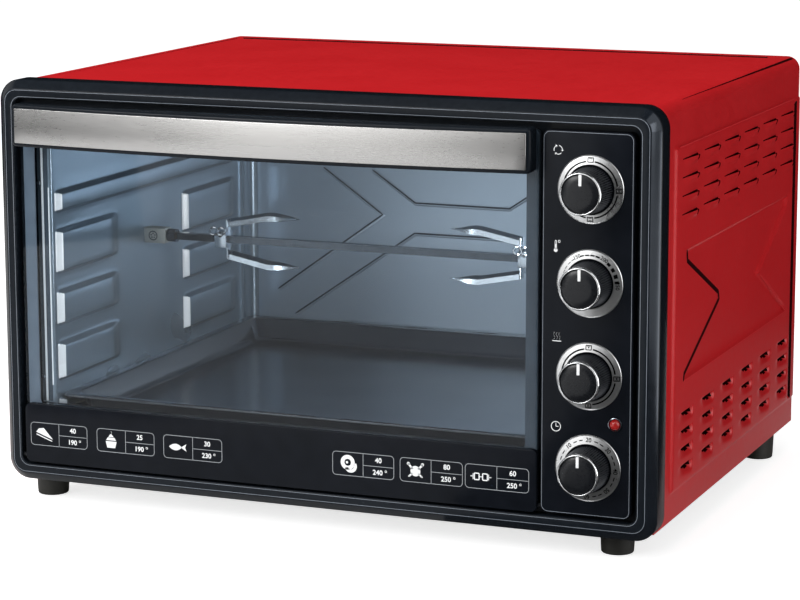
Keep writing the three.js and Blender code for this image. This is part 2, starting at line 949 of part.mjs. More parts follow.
function spitRod() {
  const start = cavityLeft + bracketWeb + runGap;
  const barStart = collarStartX + collarLength;
  const journalLength = barStart + seatGap - start;
  const journal = rod(journalRadius, journalLength, alongX, start, spitY, spitZ);
  const bar = squareBar(spitSide / 2, barStart, socketFaceX + spitEndGrip);
  return journal.add(bar);
}

// Collar on the spit's journal, which keeps the spit from sliding into its holder
function spitCollar() {
  const bore = journalRadius + seatGap;
  const profile = [
    [bore, 0],
    [collarRadius, 0],
    [collarRadius, collarLength],
    [bore, collarLength],
    [bore, 0],
  ];
  return turned(profile, alongX, collarStartX, spitY, spitZ, rodSides);
}

function driveSocket() {
  const length = socketReach + cavitySheet + socketPastWall;
  const body = rod(socketRadius, length, alongX, socketFaceX, spitY, spitZ);
  const half = spitSide / 2 + seatGap;
  const pocket = squareBar(half, socketFaceX - overrun, socketFaceX + spitEndGrip + seatGap);
  return body.subtract(pocket);
}

// Spit motor behind the right wall, held by an ear on its rear side
function spitMotor() {
  const halfWidth = motorWidth / 2;
  const halfHeight = motorHeight / 2;
  const start = cavityRight + cavitySheet + socketPastWall + seatGap;
  const body = slabX(
    roundedShape(
      spitY - halfWidth,
      spitY + halfWidth,
      spitZ - halfHeight,
      spitZ + halfHeight,
      motorCorner,
    ),
    start,
    start + motorDepth,
  );
  const ear = block(
    cavityRight + cavitySheet + seatGap,
    start + cavitySheet,
    spitY + socketRadius + motorEarGap,
    spitY + halfWidth,
    spitZ - halfHeight + motorCorner,
    spitZ + halfHeight - motorCorner,
  );
  return body.add(ear);
}

// One prong of a fork, from its root to its tip; facing is the way it points along x
function prong(hubX, facing, up) {
  const halfTip = prongSheet / 2;
  const rootX = hubX - facing * halfTip;
  const bendX = hubX + facing * prongLength * prongBendShare;
  const tipX = hubX + facing * prongLength;
  const at = (x, z) => [x, spitZ + up * z];
  const side = outlineShape([
    at(rootX, prongRoot - prongSheet),
    at(bendX, prongSpread - prongSheet),
    at(tipX, prongSpread - halfTip),
    at(tipX, prongSpread),
    at(bendX, prongSpread),
    at(rootX, prongRoot),
  ]);
  const backX = rootX - facing * overrun;
  const plan = outlineShape([
    [backX, spitY - prongWidth / 2],
    [bendX, spitY - prongWidth / 2],
    [tipX, spitY - halfTip],
    [tipX, spitY + halfTip],
    [bendX, spitY + prongWidth / 2],
    [backX, spitY + prongWidth / 2],
  ]);
  const strip = slabY(side, spitY - prongWidth / 2, spitY + prongWidth / 2);
  const reach = prongSpread + overrun;
  return strip.intersect(slabZ(plan, spitZ - reach, spitZ + reach));
}

// Fork: a hub on the square bar with an upper and a lower prong
function fork(hubX, facing) {
  const half = hubSide / 2;
  const hub = block(
    hubX - hubLength / 2,
    hubX + hubLength / 2,
    spitY - half,
    spitY + half,
    spitZ - half,
    spitZ + half,
  );
  const crossbar = block(
    hubX - prongSheet / 2,
    hubX + prongSheet / 2,
    spitY - prongWidth / 2,
    spitY + prongWidth / 2,
    spitZ - prongRoot,
    spitZ + prongRoot,
  );
  const whole = joined([hub, crossbar, prong(hubX, facing, 1), prong(hubX, facing, -1)]);
  const bore = squareBar(spitSide / 2 + seatGap, hubX - hubLength, hubX + hubLength);
  const tapped = alongScrew(screwRadius + runGap, spitSide / 2, hubSide, hubX);
  return cut(whole, [bore, tapped]);
}

// A cylinder along a wing screw's axis, from a distance off the spit's axis
function alongScrew(radius, start, length, hubX) {
  const y = spitY + screwAxis.y * start;
  const z = spitZ + screwAxis.z * start;
  return rod(radius, length, screwAxis, hubX, y, z, holeSides);
}

// Wing screw that clamps a fork to the bar
function wingScrew(hubX) {
  const tip = spitSide / 2 + screwTipGap;
  const head = hubSide / 2 + screwReach;
  const stem = alongScrew(screwRadius, tip, head - tip, hubX);
  const wing = new THREE.BoxGeometry(wingLength, wingHeight, wingSheet);
  const across = new THREE.Vector3().crossVectors(alongX, screwAxis);
  const y = spitY + screwAxis.y * head;
  const z = spitZ + screwAxis.z * head;
  return stem.add(solidFrom(wing, laid(alongX, screwAxis, across, hubX, y, z)));
}

// Controls
function dialRing(z) {
  const back = panelFaceY - seatGap;
  const front = back - dialProud;
  const profile = [
    [dialBore, back],
    [dialBore, front],
    [dialRadius - dialBevel, front],
    [dialRadius, front + dialBevel],
    [dialRadius, back],
    [dialBore, back],
  ];
  return turnedFromFront(profile, controlX, z, ringSides);
}

function knob(z) {
  const back = panelFaceY - knobFaceGap;
  const face = knobCapY + seatGap;
  const shoulder = knobCapY + trimDepth;
  const faceRadius = knobCapRadius - trimWidth;
  const profile = [
    [0, face],
    [faceRadius, face],
    [faceRadius, shoulder],
    [knobCapRadius, shoulder],
    [knobRadius, back],
    [0, back],
  ];
  const body = turnedFromFront(profile, controlX, z, knobSides);
  const boreRadius = shaftRadius + seatGap;
  const boreLength = shaftGrip + overrun;
  const boreStart = back + overrun;
  const bore = rod(boreRadius, boreLength, forwards, controlX, boreStart, z, holeSides);
  const pointerTop = z + faceRadius - seatGap;
  const pointer = block(
    controlX - pointerWidth / 2,
    controlX + pointerWidth / 2,
    knobCapY - overrun,
    face + pointerDepth,
    pointerTop - pointerLength,
    pointerTop,
  );
  return cut(body, [bore, pointer]);
}

function knobTrim(z) {
  const inner = knobCapRadius - trimWidth + seatGap;
  const seat = knobCapY + trimDepth - seatGap;
  const profile = [
    [inner, seat],
    [inner, knobCapY],
    [knobCapRadius - trimBevel, knobCapY],
    [knobCapRadius, knobCapY + trimBevel],
    [knobCapRadius, seat],
    [inner, seat],
  ];
  return turnedFromFront(profile, controlX, z, ringSides);
}

function knobShaft(z) {
  const start = panelFaceY - knobFaceGap - shaftGrip + seatGap;
  const end = panelBackY + seatGap + shaftInSwitch;
  return rod(shaftRadius, end - start, alongY, controlX, start, z, holeSides);
}

// Switch, thermostat or timer: a case behind the panel, with a bush that fills the panel's hole
function switchBody(z, depth) {
  const half = switchWidth / 2;
  const front = panelBackY + seatGap;
  const body = slabY(
    roundedShape(controlX - half, controlX + half, z - half, z + half, switchCorner),
    front,
    front + depth,
  );
  const bushStart = front + bushLength - panelPlate;
  const bush = rod(bushRadius - seatGap, bushLength, forwards, controlX, bushStart, z);
  const holeStart = front - bushLength - overrun;
  const holeLength = shaftInSwitch + bushLength + 2 * overrun;
  const holeRadius = shaftRadius + runGap;
  const hole = rod(holeRadius, holeLength, alongY, controlX, holeStart, z, holeSides);
  return body.add(bush).subtract(hole);
}

function lampLens() {
  const back = panelFaceY - seatGap;
  const profile = [];
  for (let i = 0; i <= domeSteps; i++) {
    const angle = ((i / domeSteps) * Math.PI) / 2;
    profile.push([lampRadius * Math.sin(angle), back - lampDome * Math.cos(angle)]);
  }
  profile.push([lampStemRadius, back]);
  profile.push([lampStemRadius, back + lampStemLength]);
  profile.push([0, back + lampStemLength]);
  return turnedFromFront(profile, lampX, lampZ, rodSides);
}

function lampRing() {
  const back = panelFaceY - seatGap;
  const inner = lampRadius + seatGap;
  const profile = [
    [inner, back],
    [inner, back - lampRingProud],
    [lampRingRadius, back - lampRingProud + lampRingBevel],
    [lampRingRadius, back],
    [inner, back],
  ];
  return turnedFromFront(profile, lampX, lampZ, rodSides);
}

// Door
function doorGlass() {
  return block(
    doorLeft + innerFrameInset,
    doorRight - innerFrameInset,
    glassY,
    glassY + glassThickness,
    kickTopZ + seatGap,
    doorTop,
  );
}

// Strip below the window: a sheet tray with a rounded lower front edge
function doorKick() {
  const back = doorFaceY + kickDepth;
  const side = new THREE.Shape();
  side.moveTo(back, doorBottom);
  side.lineTo(back, kickTopZ);
  side.lineTo(doorFaceY, kickTopZ);
  side.absarc(
    doorFaceY + kickFillet,
    doorBottom + kickFillet,
    kickFillet,
    Math.PI,
    1.5 * Math.PI,
    false,
  );
  side.closePath();
  const body = slabX(side, doorLeft, doorRight);
  const face = slabY(
    roundedShape(doorLeft, doorRight, doorBottom, kickTopZ, doorCorner),
    doorFaceY - overrun,
    back + overrun,
  );
  const hollow = block(
    doorLeft + kickSheet,
    doorRight - kickSheet,
    doorFaceY + kickSheet,
    back + overrun,
    doorBottom + kickSheet,
    kickTopZ - kickSheet,
  );
  const holeLength = doorRight - doorLeft + 2 * overrun;
  const holeRadius = hingePinRadius + seatGap;
  const pinHole = rod(holeRadius, holeLength, alongX, doorLeft - overrun, hingeY, hingeZ);
  return cut(body.intersect(face), [hollow, pinHole]);
}

// Pressed frame behind the glass, with a return wall round the window
function doorInnerFrame() {
  const front = glassY + glassThickness + seatGap;
  const plateBack = front + innerFrameSheet;
  const returnBack = plateBack + innerReturn;
  const framed = (inset, y0, y1) =>
    block(
      doorLeft + innerFrameInset + inset,
      doorRight - innerFrameInset - inset,
      y0,
      y1,
      kickTopZ + seatGap + inset,
      doorTop - inset,
    );
  const plate = framed(0, front, plateBack);
  const returnOuter = framed(innerFrameBand - innerFrameSheet, front, returnBack);
  const hole = framed(innerFrameBand, front - overrun, returnBack + overrun);
  return plate.add(returnOuter).subtract(hole);
}

// How far the handle's face stands out, from its middle (share 0) to its ends (share -1 and 1)
function handleReachAt(share) {
  return handleMidReach - (handleMidReach - handleEndReach) * share * share;
}

function curvePoints(from, to, depth) {
  const points = [];
  for (let i = 0; i <= handleSteps; i++) {
    const share = from + ((to - from) * i) / handleSteps;
    points.push([doorMiddle + share * handleHalf, -handleReachAt(share) + depth]);
  }
  return points;
}

// The bar's outline from above: an outer curve and an inner one, back to the glass at each end
function handleBarPiece() {
  const back = glassY - seatGap;
  const postShare = 1 - handlePost / handleHalf;
  const front = curvePoints(-1, 1, handleFaceSheet + seatGap);
  const inner = curvePoints(postShare, -postShare, handleFaceSheet + handleBar);
  const plan = outlineShape([
    ...front,
    [handleX1, back],
    [handleX1 - handlePost, back],
    ...inner,
    [handleX0 + handlePost, back],
    [handleX0, back],
  ]);
  return slabZ(plan, handleBottomZ, handleTopZ);
}

function handleFacePiece() {
  const endShare = 1 - handleFaceMargin / handleHalf;
  const plan = outlineShape([
    ...curvePoints(-endShare, endShare, 0),
    ...curvePoints(endShare, -endShare, handleFaceSheet),
  ]);
  return slabZ(plan, handleBottomZ + handleFaceMargin, handleTopZ - handleFaceMargin);
}

function hingePin(side) {
  const start = side < 0 ? doorLeft - hingePinOutside : doorRight - hingePinInside;
  const length = hingePinInside + hingePinOutside;
  return rod(hingePinRadius, length, alongX, start, hingeY, hingeZ);
}

addPiece("front_frame", frontFrame(), blackPlastic);
addPiece("control_panel", controlPanel(), blackSteel);
addPiece("housing_wrap", housingWrap(), redEnamel);
addPiece("base_plate", basePlate(), zincSteel);
addPiece("back_panel", backPanel(), zincSteel);
addPiece("cord_inlet", cordInlet(), rubber);
const footFrontY = frameDepth + footFrontGap + footTopRadius;
const footRearY = housingRearY - footRearReach;
addPiece("foot_front_left", foot(footLeftInset - housingX, footFrontY), rubber);
addPiece("foot_front_right", foot(housingX - footRightInset, footFrontY), rubber);
addPiece("foot_rear_left", foot(footRearInset - housingX, footRearY), rubber);
addPiece("foot_rear_right", foot(housingX - footRearInset, footRearY), rubber);

addPiece("cavity_left_wall", cavitySide(-1), cavityEnamel);
addPiece("cavity_right_wall", cavitySide(1), cavityEnamel);
addPiece("cavity_back_wall", cavityBack(), cavityEnamel);
addPiece("cavity_floor", cavityFloor(), cavityEnamel);
addPiece("cavity_top_wall", cavityLevel(cavityTopZ + seatGap), cavityEnamel);
addPiece("baking_tray", bakingTray(), trayEnamel);

["front", "rear"].forEach((place, i) => {
  const [upperZ, lowerZ] = elementZs;
  addPiece("upper_element_" + place, heatingElement(elementYs[i], upperZ), elementSteel);
  addPiece("lower_element_" + place, heatingElement(elementYs[i], lowerZ), elementSteel);
});

addPiece("spit_bracket", spitBracket(), zincSteel);
addPiece("spit_motor", spitMotor(), switchPlastic);
addPiece("drive_socket", driveSocket(), zincSteel);
addPiece("spit_rod", spitRod(), chrome);
addPiece("spit_collar", spitCollar(), chrome);
addPiece("fork_left", fork(leftForkX, 1), chrome);
addPiece("fork_right", fork(rightForkX, -1), chrome);
addPiece("wing_screw_left", wingScrew(leftForkX), chrome);
addPiece("wing_screw_right", wingScrew(rightForkX), chrome);

controlNames.forEach((name, i) => {
  const z = controlZs[i];
  addPiece("dial_ring_" + name, dialRing(z), brushedSteel);
  addPiece("knob_" + name, knob(z), blackPlastic);
  addPiece("knob_trim_" + name, knobTrim(z), chrome);
  addPiece("shaft_" + name, knobShaft(z), zincSteel);
  addPiece(switchNames[i], switchBody(z, switchDepths[i]), switchPlastic);
});
addPiece("lamp_lens", lampLens(), redLens);
addPiece("lamp_ring", lampRing(), chrome);

addPiece("door_glass", doorGlass(), glass);
addPiece("door_kick_strip", doorKick(), blackPlastic);
addPiece("door_inner_frame", doorInnerFrame(), blackSteel);
addPiece("handle_bar", handleBarPiece(), blackPlastic);
addPiece("handle_face", handleFacePiece(), brushedSteel);
addPiece("hinge_pin_left", hingePin(-1), zincSteel);
addPiece("hinge_pin_right", hingePin(1), zincSteel);

const root = new THREE.Group();
root.add(oven);

export default root;
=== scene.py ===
import math

import bmesh
import bpy
from mathutils import Matrix, Vector


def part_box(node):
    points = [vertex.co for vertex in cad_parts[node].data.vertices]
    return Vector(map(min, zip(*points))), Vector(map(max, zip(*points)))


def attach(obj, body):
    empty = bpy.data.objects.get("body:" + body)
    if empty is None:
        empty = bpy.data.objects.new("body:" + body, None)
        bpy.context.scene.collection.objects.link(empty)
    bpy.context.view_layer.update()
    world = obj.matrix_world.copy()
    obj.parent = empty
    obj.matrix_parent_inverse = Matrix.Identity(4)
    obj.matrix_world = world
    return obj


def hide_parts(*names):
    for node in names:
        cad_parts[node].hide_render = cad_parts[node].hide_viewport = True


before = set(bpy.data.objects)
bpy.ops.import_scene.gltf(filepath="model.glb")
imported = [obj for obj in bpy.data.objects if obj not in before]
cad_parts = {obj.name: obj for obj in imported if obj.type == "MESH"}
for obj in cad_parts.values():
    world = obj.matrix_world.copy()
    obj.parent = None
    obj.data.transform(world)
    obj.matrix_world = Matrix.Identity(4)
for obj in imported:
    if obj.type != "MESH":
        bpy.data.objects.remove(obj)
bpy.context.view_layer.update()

# Pieces are drawn in millimetres in the oven's front frame: x = 0 in the middle, y = 0 on the
# front frame's face and z = 0 at its lower edge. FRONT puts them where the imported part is.
MM = 0.001
frame_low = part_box("front_frame")[0]
FRONT = Matrix.Translation((0.0, frame_low.y, frame_low.z)) @ Matrix.Scale(MM, 4)
QUARTER = math.pi / 2


# Small helpers

def linear(code):
    """An sRGB hex colour as the linear colour that Blender's sockets take."""
    channels = [int(code[i:i + 2], 16) / 255 for i in (0, 2, 4)]
    toned = [c / 12.92 if c <= 0.04045 else ((c + 0.055) / 1.055) ** 2.4 for c in channels]
    return (*toned, 1.0)


def add_node(tree, kind, inputs=None, **settings):
    """Adds a node with its settings; an input is a constant or the socket that drives it."""
    node = tree.nodes.new(kind)
    for name, value in settings.items():
        setattr(node, name, value)
    for name, value in (inputs or {}).items():
        if isinstance(value, bpy.types.NodeSocket):
            tree.links.new(value, node.inputs[name])
        else:
            node.inputs[name].default_value = value
    return node


def smooth(low, high, value):
    share = min(1.0, max(0.0, (value - low) / (high - low)))
    return share * share * (3 - 2 * share)


def step_up(at, half, value):
    """From 0 to 1 about a place, over half to either side of it."""
    return smooth(at - half, at + half, value)


def spaced(start, end, step):
    """Evenly spaced grid lines from start up to, not including, end."""
    count = max(1, round((end - start) / step))
    return [start + (end - start) * i / count for i in range(count)]


# Materials

def new_surface(name):
    material = bpy.data.materials.new(name)
    material.use_nodes = True
    material.node_tree.nodes.clear()
    return material, material.node_tree


def close_surface(tree, shader):
    add_node(tree, "ShaderNodeOutputMaterial", {"Surface": shader.outputs[0]})


def noise(tree, place, scale, detail):
    inputs = {"Vector": place, "Scale": scale, "Detail": detail}
    return add_node(tree, "ShaderNodeTexNoise", inputs).outputs["Fac"]


def ranged(tree, value, results, start=0.0, end=1.0):
    """The socket that carries value, moved from start and end to the two results."""
    inputs = {
        "Value": value, "From Min": start, "From Max": end, "To Min": results[0],
        "To Max": results[1],
    }
    return add_node(tree, "ShaderNodeMapRange", inputs).outputs[0]


CLOUD_SCALE = 14.0


def worked_surface(
    name, dark, light, roughness, grain_mm, bump_mm, detail=2.0, shine=0.5, metal=0.0,
    stretch=(1, 1, 1), **values
):
    """A surface whose colour, roughness and height vary in a fine grain and in soft clouds.

    grain_mm is the grain's size and bump_mm its height, detail adds finer steps of it, and
    stretch draws it out along an axis. shine is how much a surface that isn't metal mirrors.
    """
    material, tree = new_surface(name)
    place = add_node(tree, "ShaderNodeTexCoord").outputs["Object"]
    drawn = add_node(tree, "ShaderNodeMapping", {"Vector": place, "Scale": stretch})
    grain = noise(tree, drawn.outputs["Vector"], 1 / (grain_mm * MM), detail)
    clouds = noise(tree, place, CLOUD_SCALE, 2.0)
    both = add_node(tree, "ShaderNodeMath", {0: grain, 1: clouds}, operation="ADD")
    share = ranged(tree, both.outputs[0], (0.0, 1.0), 0.4, 1.6)
    tones = {0: share, 6: linear(dark), 7: linear(light)}
    colour = add_node(tree, "ShaderNodeMix", tones, data_type="RGBA")
    bump = {"Height": grain, "Strength": 1.0, "Distance": bump_mm * MM}
    shader = add_node(tree, "ShaderNodeBsdfPrincipled", {
        "Base Color": colour.outputs[2],
        "Roughness": ranged(tree, share, roughness),
        "Normal": add_node(tree, "ShaderNodeBump", bump).outputs["Normal"],
        "Specular IOR Level": shine,
        "Metallic": metal,
        **values,
    })
    close_surface(tree, shader)
    return material


# Baked enamel on sheet steel, sprayed: deep red, satin, with a faint orange peel
red_enamel = worked_surface(
    "baked_red_enamel", "c4171d", "cc1c22", (0.3, 0.38), 6.0, 0.002, detail=0.0, shine=0.3
)
# ABS, injection moulded against a polished tool: blue-black, even and smooth
frame_abs = worked_surface(
    "satin_moulded_abs", "101419", "151a20", (0.2, 0.28), 4.0, 0.0004, detail=0.0, shine=0.14
)
# The same ABS, shinier and with a pale tint, on the right-hand bevel beside the control panel: a
# painted highlight
highlit_bevel_abs = worked_surface(
    "painted_highlight_abs", "0f1318", "141920", (0.12, 0.2), 8.0, 0.0004, detail=0.0, shine=0.9,
    **{"Specular Tint": linear("c9d2df")}
)
# Lacquered sheet steel: smooth blue-black gloss with a slight ripple
panel_lacquer = worked_surface(
    "black_lacquered_steel", "0c0f14", "12151b", (0.16, 0.24), 12.0, 0.001, detail=0.0, shine=0.1
)
# Lacquered steel of the door's inner frame: slate grey, half gloss
slate_lacquer = worked_surface(
    "slate_lacquered_steel", "56616e", "606c79", (0.35, 0.45), 9.0, 0.001, detail=0.0, shine=0.3
)
# Slate lacquer darkened as painted shade, for steel that lies in the shade behind the door's edge
shaded_slate_lacquer = worked_surface(
    "painted_shade_slate_steel", "363f49", "3f4953", (0.4, 0.5), 9.0, 0.001, detail=0.0, shine=0.2
)
# ABS of the knobs: matt black, scuffed a little where fingers hold it
knob_abs = worked_surface(
    "matt_black_abs", "0d0f13", "131519", (0.22, 0.34), 2.0, 0.002, detail=1.0, shine=0.32
)
# The same ABS made paler on the crests of the knobs' ribs: a painted highlight
highlit_crest_abs = worked_surface(
    "painted_highlight_crest_abs", "3a3d42", "474a50", (0.3, 0.4), 2.0, 0.002, detail=1.0, shine=0.4
)
# Stainless steel, brushed along its length: fine streaks that stretch highlights
brushed_steel = worked_surface(
    "brushed_stainless_steel", "b0afae", "bab9b8", (0.24, 0.32), 0.7, 0.0006, metal=1.0,
    stretch=(0.012, 1, 1)
)
# Stainless steel of the dial rings, turned: fine streaks over the whole ring
dial_steel = worked_surface(
    "turned_stainless_steel", "c4c5c6", "d8d9da", (0.24, 0.34), 3.0, 0.0006, metal=1.0
)
# Chromium plating: a mirror with faint handling marks
chrome = worked_surface("chromium_plate", "d4d6d8", "e8eaec", (0.07, 0.14), 6.0, 0.001, metal=1.0)
# Nickel plated steel of the lamp's bezel and the rivets: duller than chromium
nickel = worked_surface(
    "nickel_plated_steel", "79818a", "8f979f", (0.14, 0.22), 3.0, 0.001, metal=1.0
)
# Bright chromium plated strip of the forks, brushed a little by meat and washing
fork_steel = worked_surface(
    "washed_chromium_plate", "b2bac2", "c4ccd4", (0.18, 0.28), 3.0, 0.001, metal=1.0
)
# Bare steel of the spit, darkened by many roasts and drawn smooth
spit_steel = worked_surface(
    "heat_darkened_steel", "454b52", "565d65", (0.12, 0.2), 3.0, 0.001, metal=1.0
)
# Enamelled steel of the cavity: a blue-grey metallic glaze with soft reflections
cavity_glaze = worked_surface(
    "blue_grey_cavity_enamel", "75838f", "808d99", (0.26, 0.32), 60.0, 0.0005,
    detail=0.0, metal=0.65
)
# The same enamel painted lighter on the rear wall: painted light, where the lamps fall on it more
lit_rear_glaze = worked_surface(
    "painted_light_rear_enamel", "9cabba", "a8b6c4", (0.26, 0.32), 60.0, 0.0005,
    detail=0.0, metal=0.65
)
# The same enamel painted near white on the guides' front ramps and on the flange's lip and bend: a
# painted highlight
highlight_glaze = worked_surface(
    "painted_highlight_enamel", "e6eaee", "f4f6f8", (0.2, 0.3), 20.0, 0.0005, detail=0.0, shine=0.8
)
# Vitreous enamel of the tray: near black, glassy, fired on steel
tray_glaze = worked_surface(
    "black_vitreous_enamel", "20252d", "272d36", (0.2, 0.26), 60.0, 0.0002, detail=0.0, shine=0.7
)
# Zinc plated sheet: pale grey with a crystalline flake
zinc = worked_surface("zinc_plated_steel", "9b9d99", "b3b5b1", (0.35, 0.5), 7.0, 0.004, metal=0.7)
# Heating element tube, oxidised by use: dull brown-grey
element_oxide = worked_surface(
    "oxidised_element_steel", "3c3936", "56524d", (0.45, 0.6), 2.0, 0.02, metal=0.6
)
# Rubber of the feet and the lead's bush: matt, slightly dusty black
rubber = worked_surface("matt_black_rubber", "15140f", "23221e", (0.5, 0.7), 1.5, 0.02)
# Thermoplastic of the switch cases: pale, slightly yellowed
switch_plastic = worked_surface("pale_switch_plastic", "cdc6b5", "ddd7c8", (0.45, 0.6), 2.0, 0.01)
# Polycarbonate lens of the lamp: clear red, polished
lens_red = worked_surface(
    "red_lamp_lens", "8e1110", "a81a16", (0.2, 0.26), 2.0, 0.002,
    **{"Coat Weight": 0.3, "Coat Roughness": 0.1}
)
# Steel of the hinge pins painted near black, as painted shade of the gap they sit in: half matt
shaded_pin_steel = worked_surface(
    "shaded_pin_steel", "121417", "191c20", (0.45, 0.55), 2.0, 0.001, shine=0.2
)
# Screen printing inks: thin, opaque and slightly rough
white_ink = worked_surface("white_printing_ink", "d8dadc", "eeeff0", (0.45, 0.6), 0.5, 0.002)
grey_ink = worked_surface("grey_printing_ink", "8f9398", "a3a7ab", (0.45, 0.6), 0.5, 0.002)
dark_ink = worked_surface(
    "black_printing_ink", "050506", "0a0a0b", (0.5, 0.7), 0.5, 0.002, shine=0.0
)
# Pale lines laid along the rounded edges of the panel and the frame: a painted highlight
highlit_edge_lines = worked_surface("painted_highlight_lines", "6e757f", "848b95", (0.3, 0.45), 5.0, 0.001)
# Enamel that lies in shade in the cavity's pressed lines
groove_enamel = worked_surface(
    "shaded_cavity_enamel", "212b35", "2b3641", (0.4, 0.5), 5.0, 0.001, shine=0.2
)
# Near-black red laid in the pressed creases and on the rear groove's forward flank: painted shade
shaded_crease_red = worked_surface(
    "painted_shade_red", "1c0406", "250609", (0.5, 0.6), 4.0, 0.001, shine=0.03
)
# Lighter red laid along pressed edges that face the light: a painted highlight
highlit_edge_red = worked_surface(
    "painted_highlight_red", "d2282e", "dc3238", (0.3, 0.4), 4.0, 0.001, shine=0.4
)
# Near black laid on the sheet at the air slots' lips, hooks and scoops, and at the tray rim's
# slots: painted shade
slot_shade_dark = worked_surface(
    "painted_shade_of_slots", "0a0202", "140506", (0.8, 0.95), 2.0, 0.01, shine=0.0
)


PANE_INDEX = 1.28


def pane_surface():
    """Toughened glass: clear with a faint cool tint; lamps shine through it."""
    material, tree = new_surface("toughened_glass")
    place = add_node(tree, "ShaderNodeTexCoord").outputs["Object"]
    gloss = ranged(tree, noise(tree, place, 9.0, 1.0), (0.01, 0.03))
    # Both faces mirror alike, so the pane stays clear at a low angle too
    side = add_node(tree, "ShaderNodeNewGeometry").outputs["Backfacing"]
    index = ranged(tree, side, (PANE_INDEX, 1 / PANE_INDEX))
    bent = add_node(tree, "ShaderNodeFresnel", {"IOR": index})
    mirror = add_node(tree, "ShaderNodeBsdfGlossy", {"Roughness": gloss})
    clear = add_node(tree, "ShaderNodeBsdfTransparent", {"Color": linear("f4f7f9")})
    shares = {0: bent.outputs[0], 1: clear.outputs[0], 2: mirror.outputs[0]}
    close_surface(tree, add_node(tree, "ShaderNodeMixShader", shares))
    return material


pane_glass = pane_surface()


# Piece making

def add_object(name, data):
    holder = bpy.data.objects.new(name, data)
    bpy.context.scene.collection.objects.link(holder)
    return holder


def add_mesh(bm, name, surfaces):
    mesh = bpy.data.meshes.new(name)
    bm.to_mesh(mesh)
    bm.free()
    for surface in surfaces:
        mesh.materials.append(surface)
    return add_object(name, mesh)


def finish_piece(bm, name, surfaces, body="root", replaces=(), slot=None, crease=32):
    """Puts a drawn piece in its place in the oven and hands it to the body that carries it."""
    bm.transform(FRONT)
    piece = add_mesh(bm, name, surfaces)
    piece.data.shade_smooth()
    piece.data.set_sharp_from_angle(angle=math.radians(crease))
    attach(piece, body)
    if replaces:
        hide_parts(*replaces)


def facing_front(y):
    """Lays a shape drawn flat as (x, z) upright at a depth y."""
    return Matrix(((1, 0, 0, 0), (0, 0, -1, y), (0, 1, 0, 0), (0, 0, 0, 1)))


def facing_up(z):
    """Lays a shape drawn flat as (x, y) at a height z."""
    return Matrix.Translation((0, 0, z))


def shrunk(edges, inset):
    """The edges (left, right, low, high) of a rectangle, each moved inwards."""
    left, right, low, high = edges
    return left + inset, right - inset, low + inset, high - inset


def corner_points(edges):
    left, right, low, high = edges
    return (left, low), (right, low), (right, high), (left, high)


def outline(bm, rectangle, radius, steps, lay):
    """The edges of a rounded rectangle, laid by the matrix lay."""
    corners = [bm.verts.new((x, z, 0)) for x, z in corner_points(rectangle)]
    face = bm.faces.new(corners)
    if radius:
        made = bmesh.ops.bevel(
            bm, geom=corners, offset=radius, offset_type="OFFSET", segments=steps,
            profile=0.5, affect="VERTICES", material=-1,
        )
        face = next(v for v in made["verts"] if v.is_valid).link_faces[0]
    edges = list(face.edges)
    points = list(face.verts)
    bmesh.ops.delete(bm, geom=[face], context="FACES_ONLY")
    bmesh.ops.transform(bm, matrix=lay, verts=points)
    return edges


HELD_OFF = Vector((0, 5, 5))


def loft(bm, outlines):
    """Skins over outlines that follow each other.

    Two outlines in one plane can pair up wrongly, so the second is held off meanwhile.
    """
    for first, second in zip(outlines, outlines[1:]):
        ends = list({vert for edge in second for vert in edge.verts})
        bmesh.ops.translate(bm, vec=HELD_OFF, verts=ends)
        bmesh.ops.bridge_loops(bm, edges=first + second)
        bmesh.ops.translate(bm, vec=-HELD_OFF, verts=ends)


def cap(bm, edges):
    bmesh.ops.contextual_create(bm, geom=edges)


def soften(bm, edges, width, segments=3):
    bmesh.ops.bevel(
        bm, geom=[e for e in edges if e.is_valid], offset=width, offset_type="OFFSET",
        segments=segments, profile=0.5, affect="EDGES", material=-1, clamp_overlap=True,
    )


def close_shell(bm):
    bmesh.ops.remove_doubles(bm, verts=bm.verts, dist=0.005)
    bmesh.ops.recalc_face_normals(bm, faces=bm.faces)


def slab(bm, edges, radius, steps, depths, rounding):
    """A plate with round corners, open at the back and rounded along its front edge."""
    back, front = (outline(bm, edges, radius, steps, facing_front(y)) for y in depths)
    loft(bm, [back, front])
    cap(bm, front)
    soften(bm, front, rounding)
    close_shell(bm)


def cut(bm, place, normal):
    """Adds edges where a plane meets the shape."""
    geom = [*bm.verts, *bm.edges, *bm.faces]
    bmesh.ops.bisect_plane(bm, geom=geom, plane_co=place, plane_no=normal)


def fresh_verts(made):
    """The vertices among what an operator made."""
    return [item for item in made["geom"] if isinstance(item, bmesh.types.BMVert)]


def face_towards(bm, face, direction):
    """Turns the whole shell over if one of its faces looks away from a direction."""
    face.normal_update()
    if face.normal.dot(Vector(direction)) < 0:
        bmesh.ops.reverse_faces(bm, faces=bm.faces)


def turn_to_front(bm):
    """Turns every face of a flat print or ribbon towards the front."""
    for face in bm.faces:
        face.normal_update()
        if face.normal.y > 0:
            face.normal_flip()


def box(bm, low, high):
    """A block between two corners."""
    made = bmesh.ops.create_cube(bm, size=1.0)
    size = [b - a for a, b in zip(low, high)]
    middle = [(a + b) / 2 for a, b in zip(low, high)]
    lay = Matrix.Translation(middle) @ Matrix.Diagonal((*size, 1))
    bmesh.ops.transform(bm, matrix=lay, verts=made["verts"])


def turned(bm, profile, centre, axis, steps):
    """Spins a profile of (radius, distance) about an axis through centre."""
    axis = Vector(axis)
    side = axis.orthogonal().normalized()
    start = Vector(centre)
    points = [bm.verts.new(start + side * r + axis * d) for r, d in profile]
    edges = [bm.edges.new(pair) for pair in zip(points, points[1:])]
    bmesh.ops.spin(
        bm, geom=points + edges, cent=start, axis=axis, dvec=(0, 0, 0),
        angle=2 * math.pi, steps=steps, use_merge=True, use_duplicate=False,
    )


TOWARDS_VIEWER = (0, -1, 0)


